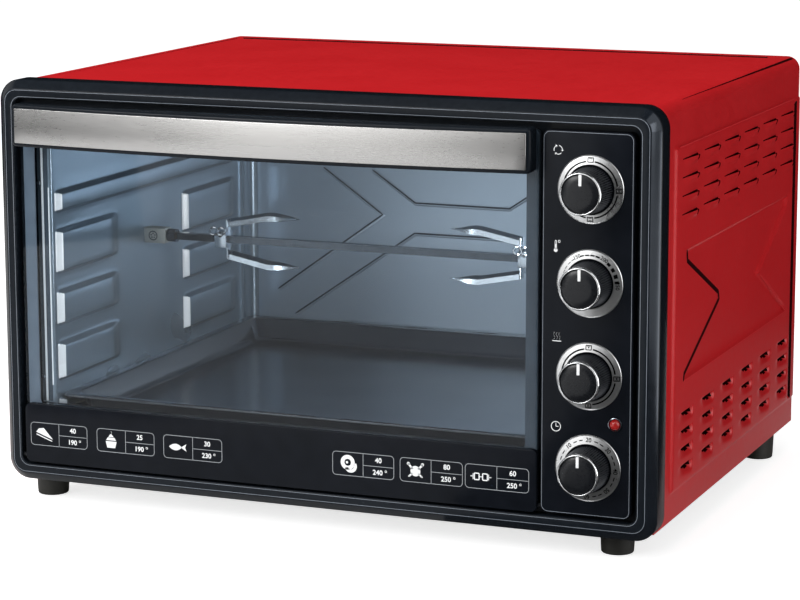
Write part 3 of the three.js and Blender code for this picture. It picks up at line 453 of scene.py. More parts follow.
def turned_piece(profile, centre, steps, name, *looks, axis=TOWARDS_VIEWER, **hand_over):
    """A closed turned piece of its own; the rest of its values are finish_piece's."""
    bm = bmesh.new()
    turned(bm, profile, centre, axis, steps)
    close_shell(bm)
    finish_piece(bm, name, *looks, **hand_over)


def pressed_sheet(bm, lines_u, lines_v, surface_point):
    """A grid with lines at lines_u and lines_v, shaped by surface_point(u, v)."""
    made = bmesh.ops.create_grid(
        bm, x_segments=len(lines_u) - 1, y_segments=len(lines_v) - 1, size=1.0
    )
    across = (len(lines_u) - 1) / 2
    along = (len(lines_v) - 1) / 2
    for vert in made["verts"]:
        u = lines_u[round((vert.co.x + 1) * across)]
        v = lines_v[round((vert.co.y + 1) * along)]
        vert.co = surface_point(u, v)


# Sizes of the oven in its front frame, in millimetres
FRAME = (-280, 280, 0, 332)
FRAME_DEEP = 26
FRAME_CORNER = 18
CHAMFER = 7
MOUTH = (-265, 265, 14.5, 317.5)
MOUTH_CORNER = 7
FLANGE_Y = 12
FLANGE_THICK = 2
WINDOW = (-250, 173.75, 29.5, 302.5)
MULLION_RIGHT = 199.75
PANEL = (188, 260.4, 17.5, 312.7)
PANEL_CORNER = 6
PANEL_Y = 1
PANEL_BACK_Y = 11.7
DOOR = (-260.5, 185.5, 16.6, 312.9)
DOOR_Y = -0.5
KICK_TOP = 66
KICK_BACK_Y = 9.5
DOOR_CORNER = 5
HOUSING_HALF = 275
HOUSING_TOP = 330.1
HOUSING_LOW = 4.2
HOUSING_FRONT = 14.3
HOUSING_REAR = 430
HOUSING_BEND = 11
CAVITY = (-238, 186.75, 36, 306)
CAVITY_FRONT = 14.3
CAVITY_REAR = 392
GUIDES = (76, 122, 165, 215.5)
GUIDE_MOUTH = 12
CONTROL_X = 226.5
CONTROL_ZS = {"mode": 269.2, "temperature": 197.95, "heat": 126.7, "timer": 55.45}
SPIT_Y = 179
SPIT_Z = 181


# Front frame: a smooth moulded ring with a flange behind the door
FRAME_WALL = 1.6
FRAME_STEPS = 10
FRAME_ROUND = 0.9
HIGHLIT_SLANT = (0.62, 0.95)
HIGHLIT_RIGHT = 0.25
PANEL_WELL_RIGHT = MOUTH[1] - 15


def make_front_frame():
    bm = bmesh.new()

    def ring(inset, y):
        corner = FRAME_CORNER - inset
        return outline(bm, shrunk(FRAME, inset), corner, FRAME_STEPS, facing_front(y))

    def mouth(y):
        return outline(bm, MOUTH, MOUTH_CORNER, FRAME_STEPS, facing_front(y))

    rings = [
        ring(FRAME_WALL, HOUSING_FRONT), ring(FRAME_WALL, FRAME_DEEP), ring(0, FRAME_DEEP),
        ring(0, CHAMFER), ring(CHAMFER, 0), mouth(0), mouth(FLANGE_Y + FLANGE_THICK),
    ]
    loft(bm, rings)
    soften(bm, [e for edges in rings[2:6] for e in edges], FRAME_ROUND)
    close_shell(bm)
    # Slanted faces on the right take the shinier copy of the ABS, a painted highlight
    for face in bm.faces:
        slanted = HIGHLIT_SLANT[0] < -face.normal.y < HIGHLIT_SLANT[1]
        face.material_index = slanted and face.normal.x > HIGHLIT_RIGHT

    xs = (*WINDOW[:2], MULLION_RIGHT, PANEL_WELL_RIGHT)
    zs = WINDOW[2:]
    flat = bmesh.new()
    flat.faces.new([flat.verts.new((x, FLANGE_Y, z)) for x, z in corner_points(MOUTH)])
    for x in xs:
        cut(flat, (x, 0, 0), (1, 0, 0))
    for z in zs:
        cut(flat, (0, 0, z), (0, 0, 1))
    holes = []
    for face in flat.faces:
        middle = face.calc_center_median()
        in_door = xs[0] < middle.x < xs[1]
        in_panel = xs[2] < middle.x < xs[3]
        if zs[0] < middle.z < zs[1] and (in_door or in_panel):
            holes.append(face)
    bmesh.ops.delete(flat, geom=holes, context="FACES")
    bmesh.ops.solidify(flat, geom=flat.faces, thickness=FLANGE_THICK)
    bmesh.ops.recalc_face_normals(flat, faces=flat.faces)
    plate = bpy.data.meshes.new("flange_plate")
    flat.to_mesh(plate)
    flat.free()
    bm.from_mesh(plate)
    bpy.data.meshes.remove(plate)
    finish_piece(
        bm, "moulded_front_frame", [frame_abs, highlit_bevel_abs], replaces=["front_frame"],
        slot="frame_plastic",
    )


# Control panel: a pressed plate with rounded edges
def make_control_panel():
    bm = bmesh.new()
    slab(bm, PANEL, PANEL_CORNER, 8, (PANEL_BACK_Y, PANEL_Y), FRAME_ROUND)
    finish_piece(
        bm, "pressed_control_panel", [panel_lacquer], replaces=["control_panel"],
        slot="panel_black",
    )


# Housing: one sheet bent over the top and both sides, with creases, slots and a pressed cross
FLAT_HALF = HOUSING_HALF - HOUSING_BEND
BEND_LENGTH = HOUSING_BEND * QUARTER
SIDE_TOP = HOUSING_TOP - HOUSING_BEND
SLOT_FIRST_Y = 68
SLOT_PITCH_Y = 58.6
SLOT_LENGTH = 42
SLOT_COLUMNS = 6
SLOT_ROWS = 4
SLOT_PITCH_Z = 14.3
UPPER_SLOT_Z = 285
LOWER_SLOT_Z = 86
UPPER_SLOT_TALL = 7.5
LOWER_SLOT_TALL = 10
SLOT_GAP = 0.9
FIELD_RISE = 1.9
BULGE = 2.3
SCOOP = 7.5
CROSS_DEEP = 2.4
GROOVE = (407, 409, 415.8, 416.4)
GROOVE_DEEP = 2.5
FIELD_REAR = (426.5, 429.4)
FIELD_FRONT = 55
FIELD_LOW = 27
FIELD_HIGH = 295.5
FIELD_SLOPES = (3, 1.8, 1.4)
CROSS_ZONE = (75, 398, 105, 219)
CROSS = (
    (84.8, 213.4), (86.6, 204.6), (174.7, 165.2), (177.6, 159.2), (82.3, 116.4), (80.5, 110.6),
    (392, 110.6), (388, 117), (300, 160), (388, 203), (392, 213.4),
)


def inside_distance(y, z, corners):
    """Distance from a point to a closed outline, above zero inside it."""
    nearest = 1e9
    inside = False
    for (y0, z0), (y1, z1) in zip(corners, corners[1:] + corners[:1]):
        dy, dz = y1 - y0, z1 - z0
        share = ((y - y0) * dy + (z - z0) * dz) / (dy * dy + dz * dz)
        share = min(1.0, max(0.0, share))
        nearest = min(nearest, math.hypot(y - y0 - share * dy, z - z0 - share * dz))
        if (z0 > z) != (z1 > z) and y < y0 + (z - z0) / dz * dy:
            inside = not inside
    return nearest if inside else -nearest


def slot_share(y, z, top, tall):
    """Where a point lies in the air slot that it belongs to, as (along, up), or None."""
    column = math.floor((y - SLOT_FIRST_Y) / SLOT_PITCH_Y)
    row = math.floor((top + 0.01 - z) / SLOT_PITCH_Z)
    if not (0 <= column < SLOT_COLUMNS and 0 <= row < SLOT_ROWS):
        return None
    along = (y - SLOT_FIRST_Y - column * SLOT_PITCH_Y) / SLOT_LENGTH
    up = 1 - (top - row * SLOT_PITCH_Z - z) / tall
    if 0 <= along <= 1 and 0 <= up <= 1:
        return along, up
    return None


def groove_share(y):
    """How deep a point lies in the rear groove, which ends in a steep wall, 0 to 1."""
    return smooth(GROOVE[0], GROOVE[1], y) * (1 - smooth(GROOVE[2], GROOVE[3], y))


def side_relief(y, z):
    """How far the side stands out at a point: the raised field, its cross and its air slots."""
    front_slope, low_slope, high_slope = FIELD_SLOPES
    height = FIELD_RISE * step_up(FIELD_FRONT, front_slope, y) * step_up(FIELD_LOW, low_slope, z)
    height *= (1 - smooth(*FIELD_REAR, y)) * (1 - step_up(FIELD_HIGH, high_slope, z))
    ends = smooth(FIELD_LOW, FIELD_LOW + 3, z) * (1 - smooth(FIELD_HIGH - 5, FIELD_HIGH - 2, z))
    height -= GROOVE_DEEP * groove_share(y) * ends
    if CROSS_ZONE[0] < y < CROSS_ZONE[1] and CROSS_ZONE[2] < z < CROSS_ZONE[3]:
        height -= CROSS_DEEP * smooth(0, 2.4, inside_distance(y, z, CROSS))
    upper = slot_share(y, z, UPPER_SLOT_Z, UPPER_SLOT_TALL)
    if upper:
        along, up = upper
        height += BULGE * smooth(0, 0.9, along) * (1 - smooth(0.97, 1, along)) * smooth(0, 0.9, up)
    lower = slot_share(y, z, LOWER_SLOT_Z, LOWER_SLOT_TALL)
    if lower:
        along, up = lower
        edges = smooth(0, 0.12, 1 - along) * smooth(0, 0.1, 1 - up)
        height -= SCOOP * smooth(0, 0.95, along) * smooth(0.05, 0.85, up) * edges
    return height


def side_lines_z():
    """Grid heights of one side from its lower edge to its bend, close together at the details."""
    lines = [HOUSING_LOW, HOUSING_LOW + 1, 10, 17]
    lines += spaced(23, 31, 1)
    lines += [31, 33.5]
    lines += spaced(35, CROSS_ZONE[2], 1.1)
    lines += spaced(CROSS_ZONE[2], CROSS_ZONE[3], 1.05)
    lines += [CROSS_ZONE[3], 225, 230]
    for row in reversed(range(SLOT_ROWS)):
        top = UPPER_SLOT_Z - row * SLOT_PITCH_Z
        lines += spaced(top - UPPER_SLOT_TALL - 0.5, top - 0.6, 1.1)
        lines += [top - 0.3, top, top + 0.06, top + SLOT_GAP, top + 4.2]
    lines += spaced(292, 299, 0.9)
    lines += [299, 304, 311, SIDE_TOP]
    return sorted(set(round(z, 3) for z in lines))


def housing_lines_y():
    lines = [HOUSING_FRONT, 20, 26, 27, 34, 42, 50]
    lines += spaced(51.5, 58.5, 0.9)
    lines += [60, 64]
    for column in range(SLOT_COLUMNS):
        start = SLOT_FIRST_Y + column * SLOT_PITCH_Y
        lines += spaced(start, start + SLOT_LENGTH - 2, 2.5)
        lines += [start + SLOT_LENGTH - d for d in (2, 1.3, 0.6, 0)]
        lines += [start + SLOT_LENGTH + d for d in (0.8, 1.8)]
        lines += spaced(start + SLOT_LENGTH + 3.5, start + SLOT_PITCH_Y, 2.2)
    lines += spaced(SLOT_FIRST_Y + (SLOT_COLUMNS - 1) * SLOT_PITCH_Y + 50, GROOVE[0], 2.5)
    lines += spaced(GROOVE[0], GROOVE[1], 0.5)
    lines += spaced(GROOVE[2] - 0.1, GROOVE[3] + 0.1, 0.12) + [GROOVE[3] + 0.1]
    lines += [420, 423, *spaced(*FIELD_REAR, 0.7), FIELD_REAR[1], HOUSING_REAR]
    return sorted(set(round(y, 3) for y in lines if y <= HOUSING_REAR))


TOP_GROOVE_DEEP = 2.0
TOP_GROOVE_ENDS = (-257, -253, 246, 252)


def top_relief(x, y):
    """A groove along the top's rear edge."""
    ends = smooth(TOP_GROOVE_ENDS[0], TOP_GROOVE_ENDS[1], x)
    ends *= 1 - smooth(TOP_GROOVE_ENDS[2], TOP_GROOVE_ENDS[3], x)
    return -TOP_GROOVE_DEEP * groove_share(y) * ends


def on_bend(side, radius, turn, y):
    """A point of the bend between the top and a side; turn runs from the top down."""
    return Vector((
        side * (FLAT_HALF + radius * math.sin(turn)), y, SIDE_TOP + radius * math.cos(turn)
    ))


def housing_point(u, y):
    """A point of the housing; u runs over the top from the middle and then down a side."""
    side = math.copysign(1, u)
    reach = abs(u)
    if reach <= FLAT_HALF:
        return Vector((u, y, HOUSING_TOP + top_relief(u, y)))
    if reach < FLAT_HALF + BEND_LENGTH:
        return on_bend(side, HOUSING_BEND, (reach - FLAT_HALF) / HOUSING_BEND, y)
    z = SIDE_TOP - (reach - FLAT_HALF - BEND_LENGTH)
    return Vector((side * (HOUSING_HALF + side_relief(y, z)), y, z))


# Finishes of the housing's faces: its enamel, painted shade at the air slots, painted shade on the
# groove's flank
ENAMEL, SLOT_SHADE, SHADE = range(3)
# The hook of painted shade at an upper slot's rear end, and the depth past which a scoop's faces
# take painted shade
SLOT_HOOK = 6.5
SLOT_END = SLOT_LENGTH + 0.8
HOOK_SHADE_TALL = 4.4
SUNK_X = HOUSING_HALF + FIELD_RISE - SCOOP * 0.4


def side_finish(x, y, z, facing_forward):
    """Which of the housing's finishes a face of the side has: its enamel or painted shade."""
    if facing_forward and GROOVE[2] < y < GROOVE[3] and FIELD_LOW < z < FIELD_HIGH:
        return SHADE
    along = (y - SLOT_FIRST_Y) % SLOT_PITCH_Y
    if not 0 <= y - SLOT_FIRST_Y <= SLOT_COLUMNS * SLOT_PITCH_Y:
        return ENAMEL
    slotted = False
    if UPPER_SLOT_Z - SLOT_ROWS * SLOT_PITCH_Z < z < UPPER_SLOT_Z + SLOT_GAP:
        under = (UPPER_SLOT_Z + SLOT_GAP - z) % SLOT_PITCH_Z
        hook = SLOT_LENGTH - SLOT_HOOK + under * 0.75
        slotted = under < SLOT_GAP + 0.1 and SLOT_LENGTH * 0.06 < along < SLOT_END
        slotted = slotted or (under < SLOT_GAP + HOOK_SHADE_TALL and hook < along < SLOT_END)
    elif z < LOWER_SLOT_Z and along < SLOT_LENGTH:
        slotted = x < SUNK_X and (LOWER_SLOT_Z - z) % SLOT_PITCH_Z < LOWER_SLOT_TALL * 0.66
    return SLOT_SHADE if slotted else ENAMEL


SHEET_HEM = 1.2
HEM_DROPS_ABOVE = 100
STEEP = 0.6


def make_housing():
    bm = bmesh.new()
    side = [FLAT_HALF + BEND_LENGTH + SIDE_TOP - z for z in reversed(side_lines_z())]
    bend = [FLAT_HALF + d for d in (1.5, 3, 4.5, 6, 7.5, 9, 11, 13, 15)]
    half = sorted(set(round(u, 3) for u in side + bend))
    top = [-FLAT_HALF, *spaced(-258, -252, 1), *spaced(-252, 245, 22)]
    top += [*spaced(245, 253, 1), 253, FLAT_HALF]
    lines_u = [-u for u in reversed(half)] + top + half
    lines_u = sorted(set(round(u, 3) for u in lines_u))
    pressed_sheet(bm, lines_u, housing_lines_y(), housing_point)
    bm.normal_update()
    # Faces at the air slots and on the rear groove's forward flank take painted shade
    for face in bm.faces:
        middle = face.calc_center_median()
        forward = abs(face.normal.y) > STEEP
        if abs(middle.x) > HOUSING_HALF - SCOOP - 1 and middle.z < SIDE_TOP:
            face.material_index = side_finish(abs(middle.x), middle.y, middle.z, forward)
        elif forward and GROOVE[2] < middle.y < GROOVE[3]:
            face.material_index = SHADE
    rim = [e for e in bm.edges if e.is_boundary]
    for vert in fresh_verts(bmesh.ops.extrude_edge_only(bm, edges=rim)):
        vert.co.x *= 1 - SHEET_HEM / HOUSING_HALF
        if vert.co.z > HEM_DROPS_ABOVE:
            vert.co.z -= SHEET_HEM
    bmesh.ops.recalc_face_normals(bm, faces=bm.faces)
    upper = max(bm.faces, key=lambda face: face.calc_center_median().z - abs(face.normal.x))
    face_towards(bm, upper, (0, 0, 1))
    finish_piece(
        bm, "bent_housing_sheet", [red_enamel, slot_shade_dark, shaded_crease_red], replaces=["housing_wrap"],
        slot="housing_red", crease=50,
    )


# Creases of the housing laid as ribbons of painted shade, and its lit edges as ribbons of painted
# highlight
CREASE_RISE = 0.12
CREASE_STEP = 3.0


def crease_stations(points, widths):
    """Stations along a path of (u, v) points: place, direction and width."""
    spots = []
    gone = 0.0
    for start, end in zip(points, points[1:]):
        span = math.dist(start, end)
        count = max(1, round(span / CREASE_STEP))
        for share in (i / count for i in range(count)):
            spots.append((Vector(start).lerp(Vector(end), share), gone + span * share))
        gone += span
    spots.append((Vector(points[-1]), gone))
    stations = []
    for i, (spot, way) in enumerate(spots):
        run = (spots[min(len(spots) - 1, i + 1)][0] - spots[max(0, i - 1)][0]).normalized()
        taper = math.sqrt(min(1.0, (min(way, gone - way) + 0.4) / 1.6))
        width = (widths[0] + (widths[1] - widths[0]) * way / gone) * taper
        stations.append((spot, Vector((-run.y, run.x)), width))
    return stations


def lay_crease(bm, points, widths, place):
    """A narrow ribbon along a path, laid on the sheet by place(u, v)."""
    last = None
    for spot, across, width in crease_stations(points, widths):
        ends = [
            bm.verts.new(place(*(spot + across * (width * share)))) for share in (-0.5, 0.5)
        ]
        if last:
            bm.faces.new((last[0], last[1], ends[1], ends[0]))
        last = ends


def turn_outward(bm):
    """Turns the housing's ribbons away from its inside."""
    for face in bm.faces:
        face.normal_update()
        middle = face.calc_center_median()
        away = Vector((middle.x, 0, middle.z - HOUSING_TOP / 2))
        if face.normal.dot(away) < 0:
            face.normal_flip()


PALE_WIDTH = 0.9
BEND_CREASE_ARC = 5.5
TOP_CREASE_X = -257.5
TOP_CREASE_RISE = 0.05


def make_creases():
    bm = bmesh.new()
    pale = bmesh.new()
    for side in (-1, 1):

        def on_side(y, z):
            return Vector((side * (HOUSING_HALF + FIELD_RISE + CREASE_RISE), y, z))

        def round_corner(arc, y):
            return on_bend(side, HOUSING_BEND + CREASE_RISE, arc / HOUSING_BEND, y)

        lay_crease(bm, CROSS[:6], (3.8, 3.8), on_side)
        field_top = [(FIELD_FRONT + 6, FIELD_HIGH), (GROOVE[0] - 2, FIELD_HIGH)]
        lay_crease(pale, field_top, (PALE_WIDTH, PALE_WIDTH), on_side)
        lay_crease(pale, [CROSS[8], CROSS[6]], (PALE_WIDTH, PALE_WIDTH), on_side)
        lay_crease(pale, [CROSS[6], CROSS[5]], (0.6, 0.6), on_side)
        bend_crease = [(BEND_CREASE_ARC, 90), (BEND_CREASE_ARC, 425)]
        lay_crease(bm, bend_crease, (0.3, 2.4), round_corner)

    lay_crease(
        bm, [(TOP_CREASE_X, 60), (TOP_CREASE_X, GROOVE[0])], (0.3, 1.6),
        lambda x, y: Vector((x, y, HOUSING_TOP + TOP_CREASE_RISE)),
    )
    turn_outward(bm)
    turn_outward(pale)
    finish_piece(bm, "dark_housing_creases", [shaded_crease_red], slot="housing_red", crease=50)
    finish_piece(pale, "bright_housing_edges", [highlit_edge_red], slot="housing_red", crease=50)


# Cavity walls with pressed guides: pads stand out between the mouths that carry a tray
PAD_RISE = 4.6
PAD_RAMP = 4.8
PAD_EDGE = 4.6
PAD_STARTS = (17, 247)
PAD_LONG = 112
PAD_FADE = 26
LONG_PAD = 3
REAR_BEAD_Y = 371
REAR_BEAD = (1.6, 2.6)
PAD_ABOVE = 26
PAD_BELOW = 20
WALL_BEND = 3
LEFT_FLANGE = 15
RIGHT_FLANGE = 12.6
WALL_CORNER = 7


def guide_pads():
    """The height ranges of the pads between the guides' mouths."""
    half = GUIDE_MOUTH / 2
    tops = [z - half for z in GUIDES[1:]] + [GUIDES[-1] + PAD_ABOVE]
    lowest = (GUIDES[0] - PAD_BELOW, GUIDES[0] - half)
    return [(z + half, top) for z, top in zip(GUIDES, tops)] + [lowest]


def guide_relief(y, z):
    """How far the pads and the bead before the rear corner stand out of a side wall."""
    height = REAR_BEAD[0] * math.cos(min(1.0, abs(y - REAR_BEAD_Y) / REAR_BEAD[1]) * QUARTER)
    for start in PAD_STARTS:
        end = start + PAD_LONG
        for index, (low, high) in enumerate(guide_pads()):
            if not low < z < high or y < start:
                continue
            along = min(1.0, (y - start) / PAD_RAMP)
            if index == LONG_PAD and start == PAD_STARTS[0]:
                end = PAD_STARTS[1] + PAD_LONG
            along *= 1 - smooth(end - PAD_FADE, end, y)
            up = smooth(0, 1, (z - low) / PAD_EDGE) * smooth(0, 1, (high - z) / PAD_EDGE)
            height = max(height, PAD_RISE * along * up)
    return height


def guide_lines_y():
    """Grid lines of a side wall; those before the wall's own front edge make its bend."""
    lines = [CAVITY_FRONT - 0.001]
    for start in PAD_STARTS:
        lines += spaced(start, start + PAD_RAMP, 1.2) + [start + PAD_RAMP, start + PAD_RAMP + 0.5]
        lines += spaced(start + PAD_RAMP + 4, start + PAD_LONG - PAD_FADE, 9)
        lines += spaced(start + PAD_LONG - PAD_FADE, start + PAD_LONG, 2) + [start + PAD_LONG]
    lines += [140, 150, 180, 210, 235, 243, 362]
    lines += spaced(REAR_BEAD_Y - 2.8, REAR_BEAD_Y + 2.8, 0.45) + [REAR_BEAD_Y + 2.8, 379]
    lines += spaced(CAVITY_REAR - WALL_CORNER, CAVITY_REAR - 2, 0.9)
    lines += [CAVITY_REAR - d for d in (2, 1.3, 0.8, 0.45, 0.2, 0.05, 0)]
    return sorted(set(round(y, 3) for y in lines))


def guide_lines_z():
    lines = [CAVITY[2], CAVITY[3]]
    for low, high in guide_pads():
        lines += spaced(low, low + PAD_EDGE, 0.5) + [low + PAD_EDGE]
        lines += spaced(low + PAD_EDGE + 4, high - PAD_EDGE, 6)
        lines += spaced(high - PAD_EDGE, high, 0.5) + [high]
    for z in GUIDES:
        lines += [z - 2, z + 2]
    lines += [42, 49, 255, 270, 285, 296]
    return sorted(set(round(z, 3) for z in lines))


WALL_PROBE_Y = 190
BRIGHT_RAMP = (-0.85, -0.4)


def make_cavity_side(name, node, wall_x, side):
    bm = bmesh.new()

    def point(y, z):
        x = wall_x - side * guide_relief(y, z)
        past = y - (CAVITY_REAR - WALL_CORNER)
        if past > 0:
            share = min(1.0, past / WALL_CORNER)
            x -= side * WALL_CORNER * (1 - math.sqrt(1 - share * share))
        return Vector((x, y, z))

    pressed_sheet(bm, guide_lines_y(), guide_lines_z(), point)
    rim = [e for e in bm.edges if all(abs(v.co.y - CAVITY_FRONT) < 0.01 for v in e.verts)]
    here = Vector((0.0, 0.0))
    moves = []
    for turn in map(math.radians, (15, 30, 45, 60, 75, 90)):
        there = Vector((WALL_BEND * (1 - math.cos(turn)), -WALL_BEND * math.sin(turn)))
        moves.append((there - here) * 0.75)
        here = there
    moves.append(Vector(((LEFT_FLANGE if side < 0 else RIGHT_FLANGE) - WALL_BEND, 0.0)))
    for move in moves:
        made = bmesh.ops.extrude_edge_only(bm, edges=rim)
        fresh = fresh_verts(made)
        rim = [item for item in made["geom"] if isinstance(item, bmesh.types.BMEdge)]
        rim = [e for e in rim if all(v in fresh for v in e.verts)]
        bmesh.ops.translate(bm, vec=(side * move.x, move.y, 0), verts=fresh)
    bmesh.ops.recalc_face_normals(bm, faces=bm.faces)
    probe = min(bm.faces, key=lambda face: abs(face.calc_center_median().y - WALL_PROBE_Y))
    face_towards(bm, probe, (-side, 0, 0))
    bm.normal_update()
    # Front-facing ramps of the pads take the near-white enamel, a painted highlight
    for face in bm.faces:
        middle = face.calc_center_median()
        slanted = BRIGHT_RAMP[0] < side * face.normal.x < BRIGHT_RAMP[1]
        on_ramp = any(start < middle.y < start + PAD_RAMP for start in PAD_STARTS)
        face.material_index = on_ramp and slanted and face.normal.y < -0.5
    finish_piece(
        bm, name, [cavity_glaze, highlight_glaze], replaces=[node], slot="cavity_enamel", crease=60
    )


# Rear wall with its open cross of pressed lines
REAR_LINES = (
    ((-210.5, 96.6), (-104, 173), (-163, 214)),
    ((159.2, 96.6), (52.7, 173), (111.7, 214)),
    ((-193, 74), (-72.3, 157.4), (21, 157.4), (141.7, 74)),
    ((-114, 214), (-71.5, 185.5), (20.2, 185.4), (62.7, 214)),
)
REAR_LINE_HALF = 1.5
REAR_LINE_TALL = 0.9


def make_rear_wall():
    bm = bmesh.new()
    sides = (CAVITY[0] + WALL_CORNER, CAVITY[1] - WALL_CORNER)
    lines_x = spaced(*sides, 30) + [sides[1]]
    lines_z = spaced(CAVITY[2], CAVITY[3], 30) + [CAVITY[3]]
    pressed_sheet(bm, lines_x, lines_z, lambda x, z: Vector((x, CAVITY_REAR, z)))
    face_towards(bm, next(iter(bm.faces)), TOWARDS_VIEWER)
    for points in REAR_LINES:
        spots = [Vector((x, 0, z)) for x, z in points]
        rows = []
        for i, here in enumerate(spots):
            before = (here - spots[i - 1]).normalized() if i else None
            after = (spots[i + 1] - here).normalized() if i + 1 < len(spots) else None
            run = ((before or after) + (after or before)).normalized()
            stretch = 1 / max(0.4, run.dot(after or before))
            row = []
            for share in (k / 3 - 1 for k in range(7)):
                rise = REAR_LINE_TALL * math.cos(share * QUARTER) ** 1.2
                spot = here + Vector((run.z, 0, -run.x)) * (share * REAR_LINE_HALF * stretch)
                row.append(bm.verts.new((spot.x, CAVITY_REAR - 0.05 - rise, spot.z)))
            rows.append([bm.edges.new(pair) for pair in zip(row, row[1:])])
        loft(bm, rows)
    shade = bmesh.new()
    for points in REAR_LINES:
        lay_crease(
            shade, [(x, z + 1.3) for x, z in points], (1.5, 1.5),
            lambda x, z: Vector((x, CAVITY_REAR - 1.1, z)),
        )
    turn_to_front(shade)
    finish_piece(shade, "shaded_rear_lines", [groove_enamel], slot="cavity_enamel", crease=50)
    finish_piece(
        bm, "pressed_rear_wall", [lit_rear_glaze], replaces=["cavity_back_wall"],
        slot="cavity_enamel", crease=60,
    )


# Baking tray: a glazed pan with a flat rim
TRAY_RIM_Z = 71.3
TRAY_FLOOR_Z = 52.3
TRAY = (-237.7, 186.45, 18, 389)
TRAY_SHEET = 0.9
# Inset, height and corner radius of the tray's outlines
TRAY_LEVELS = (
    (0, TRAY_RIM_Z - 1.6, 9), (0, TRAY_RIM_Z, 9), (9, TRAY_RIM_Z, 12), (17, TRAY_FLOOR_Z, 16),
)


def make_tray():
    bm = bmesh.new()
    loops = [
        outline(bm, shrunk(TRAY, inset), radius, 8, facing_up(z))
        for inset, z, radius in TRAY_LEVELS
    ]
    loft(bm, loops)
    cap(bm, loops[-1])
    soften(bm, loops[3], 5, 5)
    soften(bm, loops[2], 1.2)
    soften(bm, loops[1], 0.7)
    bmesh.ops.recalc_face_normals(bm, faces=bm.faces)
    face_towards(bm, max(bm.faces, key=lambda face: face.calc_area()), (0, 0, 1))
    bmesh.ops.solidify(bm, geom=bm.faces, thickness=TRAY_SHEET)
    finish_piece(
        bm, "glazed_baking_tray", [tray_glaze], replaces=["baking_tray"], slot="tray_enamel",
        crease=40,
    )


# Door: lower strip with rounded edges
def make_kick_strip():
    bm = bmesh.new()
    slab(bm, (*DOOR[:3], KICK_TOP), DOOR_CORNER, 8, (KICK_BACK_Y, DOOR_Y), 0.8)
    finish_piece(
        bm, "pressed_door_strip", [panel_lacquer], "door", replaces=["door_kick_strip"],
        slot="frame_plastic",
    )


# Door: the pressed frame behind the glass, whose lower run lies behind the strip
INNER_OUTSIDE = (DOOR[0] + 1.5, DOOR[1] - 1.5, 56, DOOR[3] - 1.5)
INNER_INSIDE = (DOOR[0] + 11.5, DOOR[1] - 11.5, 65.5, DOOR[3] - 11.5)
INNER_CORNERS = (4, 3)
INNER_BACK_Y = 10.6
INNER_Y = 4.8
INNER_LIP_Y = 6.0
SHADED_FROM_X = 150


def make_inner_frame():
    bm = bmesh.new()
    outer, inner = INNER_CORNERS
    loops = [
        outline(bm, INNER_OUTSIDE, outer, 6, facing_front(INNER_BACK_Y)),
        outline(bm, INNER_OUTSIDE, outer, 6, facing_front(INNER_Y)),
        outline(bm, INNER_INSIDE, inner, 6, facing_front(INNER_Y)),
        outline(bm, INNER_INSIDE, inner, 6, facing_front(INNER_LIP_Y)),
    ]
    loft(bm, loops)
    soften(bm, loops[1] + loops[2], 0.5)
    close_shell(bm)
    # The frame's run on the right, behind the door's edge, takes the painted shade copy of its
    # lacquer
    for face in bm.faces:
        face.material_index = face.calc_center_median().x > SHADED_FROM_X
    finish_piece(
        bm, "pressed_door_frame", [slate_lacquer, shaded_slate_lacquer], "door",
        replaces=["door_inner_frame"], slot="frame_plastic",
    )


# Front flange of the cavity, seen through the glass on the left: its lip and bend painted near
# white as painted highlights, its face darkened as painted shade
LIP_BOXES = (
    ((-246.9, 11.4, 66.5), (-245.1, 12.1, 302)), ((-240.9, 11.6, 80), (-240.0, 12.1, 244)),
)
FLANGE_BOX = ((-250.4, 11.8, 66.5), (-240.9, 12.6, 302))
RIVETS = ((-249, 12, 86.7), (-249, 12, 247.5))
RIVET_PROFILE = ((2.0, 0), (1.8, 0.8), (1.0, 1.2), (0, 1.3))


def make_cavity_lip():
    bm = bmesh.new()
    for corners in LIP_BOXES:
        box(bm, *corners)
    finish_piece(bm, "bright_cavity_lip", [highlight_glaze], slot="cavity_enamel")
    # The flange's face in the darker slate of painted shade
    bm = bmesh.new()
    box(bm, *FLANGE_BOX)
    finish_piece(bm, "cavity_flange_edge", [shaded_slate_lacquer], slot="cavity_enamel")
    bm = bmesh.new()
    for place in RIVETS:
        turned(bm, RIVET_PROFILE, place, TOWARDS_VIEWER, 16)
    close_shell(bm)
    finish_piece(bm, "flange_rivets", [nickel], slot="cavity_enamel")


# Holder of the spit: a small pale block with a dark rosette on its face
HOLDER_Y = 173
HOLDER_BOX = ((-237.7, HOLDER_Y, 174), (-217.4, 185, 187.2))
ROSETTE = (-229, 180.6)
PETAL_REACH = 1.9


def make_spit_holder():
    bm = bmesh.new()
    box(bm, *HOLDER_BOX)
    soften(bm, list(bm.edges), 0.6, 2)
    finish_piece(bm, "pale_spit_holder", [zinc], replaces=["spit_bracket"], slot="zinc_steel")
    bm = bmesh.new()
    ink_arc(bm, *ROSETTE, 3.8, 0.9, 0, 360)
    for turn in range(0, 360, 72):
        ink_disc(bm, *around(ROSETTE, PETAL_REACH, turn), 0.7, 8)
    finish_print(bm, "holder_rosette", groove_enamel, HOLDER_Y, slot="zinc_steel")


# Dark marks at the slots of the tray's rim: painted shade of their insides
RIM_MARKS = (
    (-207, -156, 19.5), (-135, -82, 19.5), (-60, -9, 19.5), (13, 65, 19.5), (85, 138, 19.5),
    (-152, -131, 387), (-79, -59, 387), (-8, 11, 387),
)
RIM_MARK_HALF = 0.9


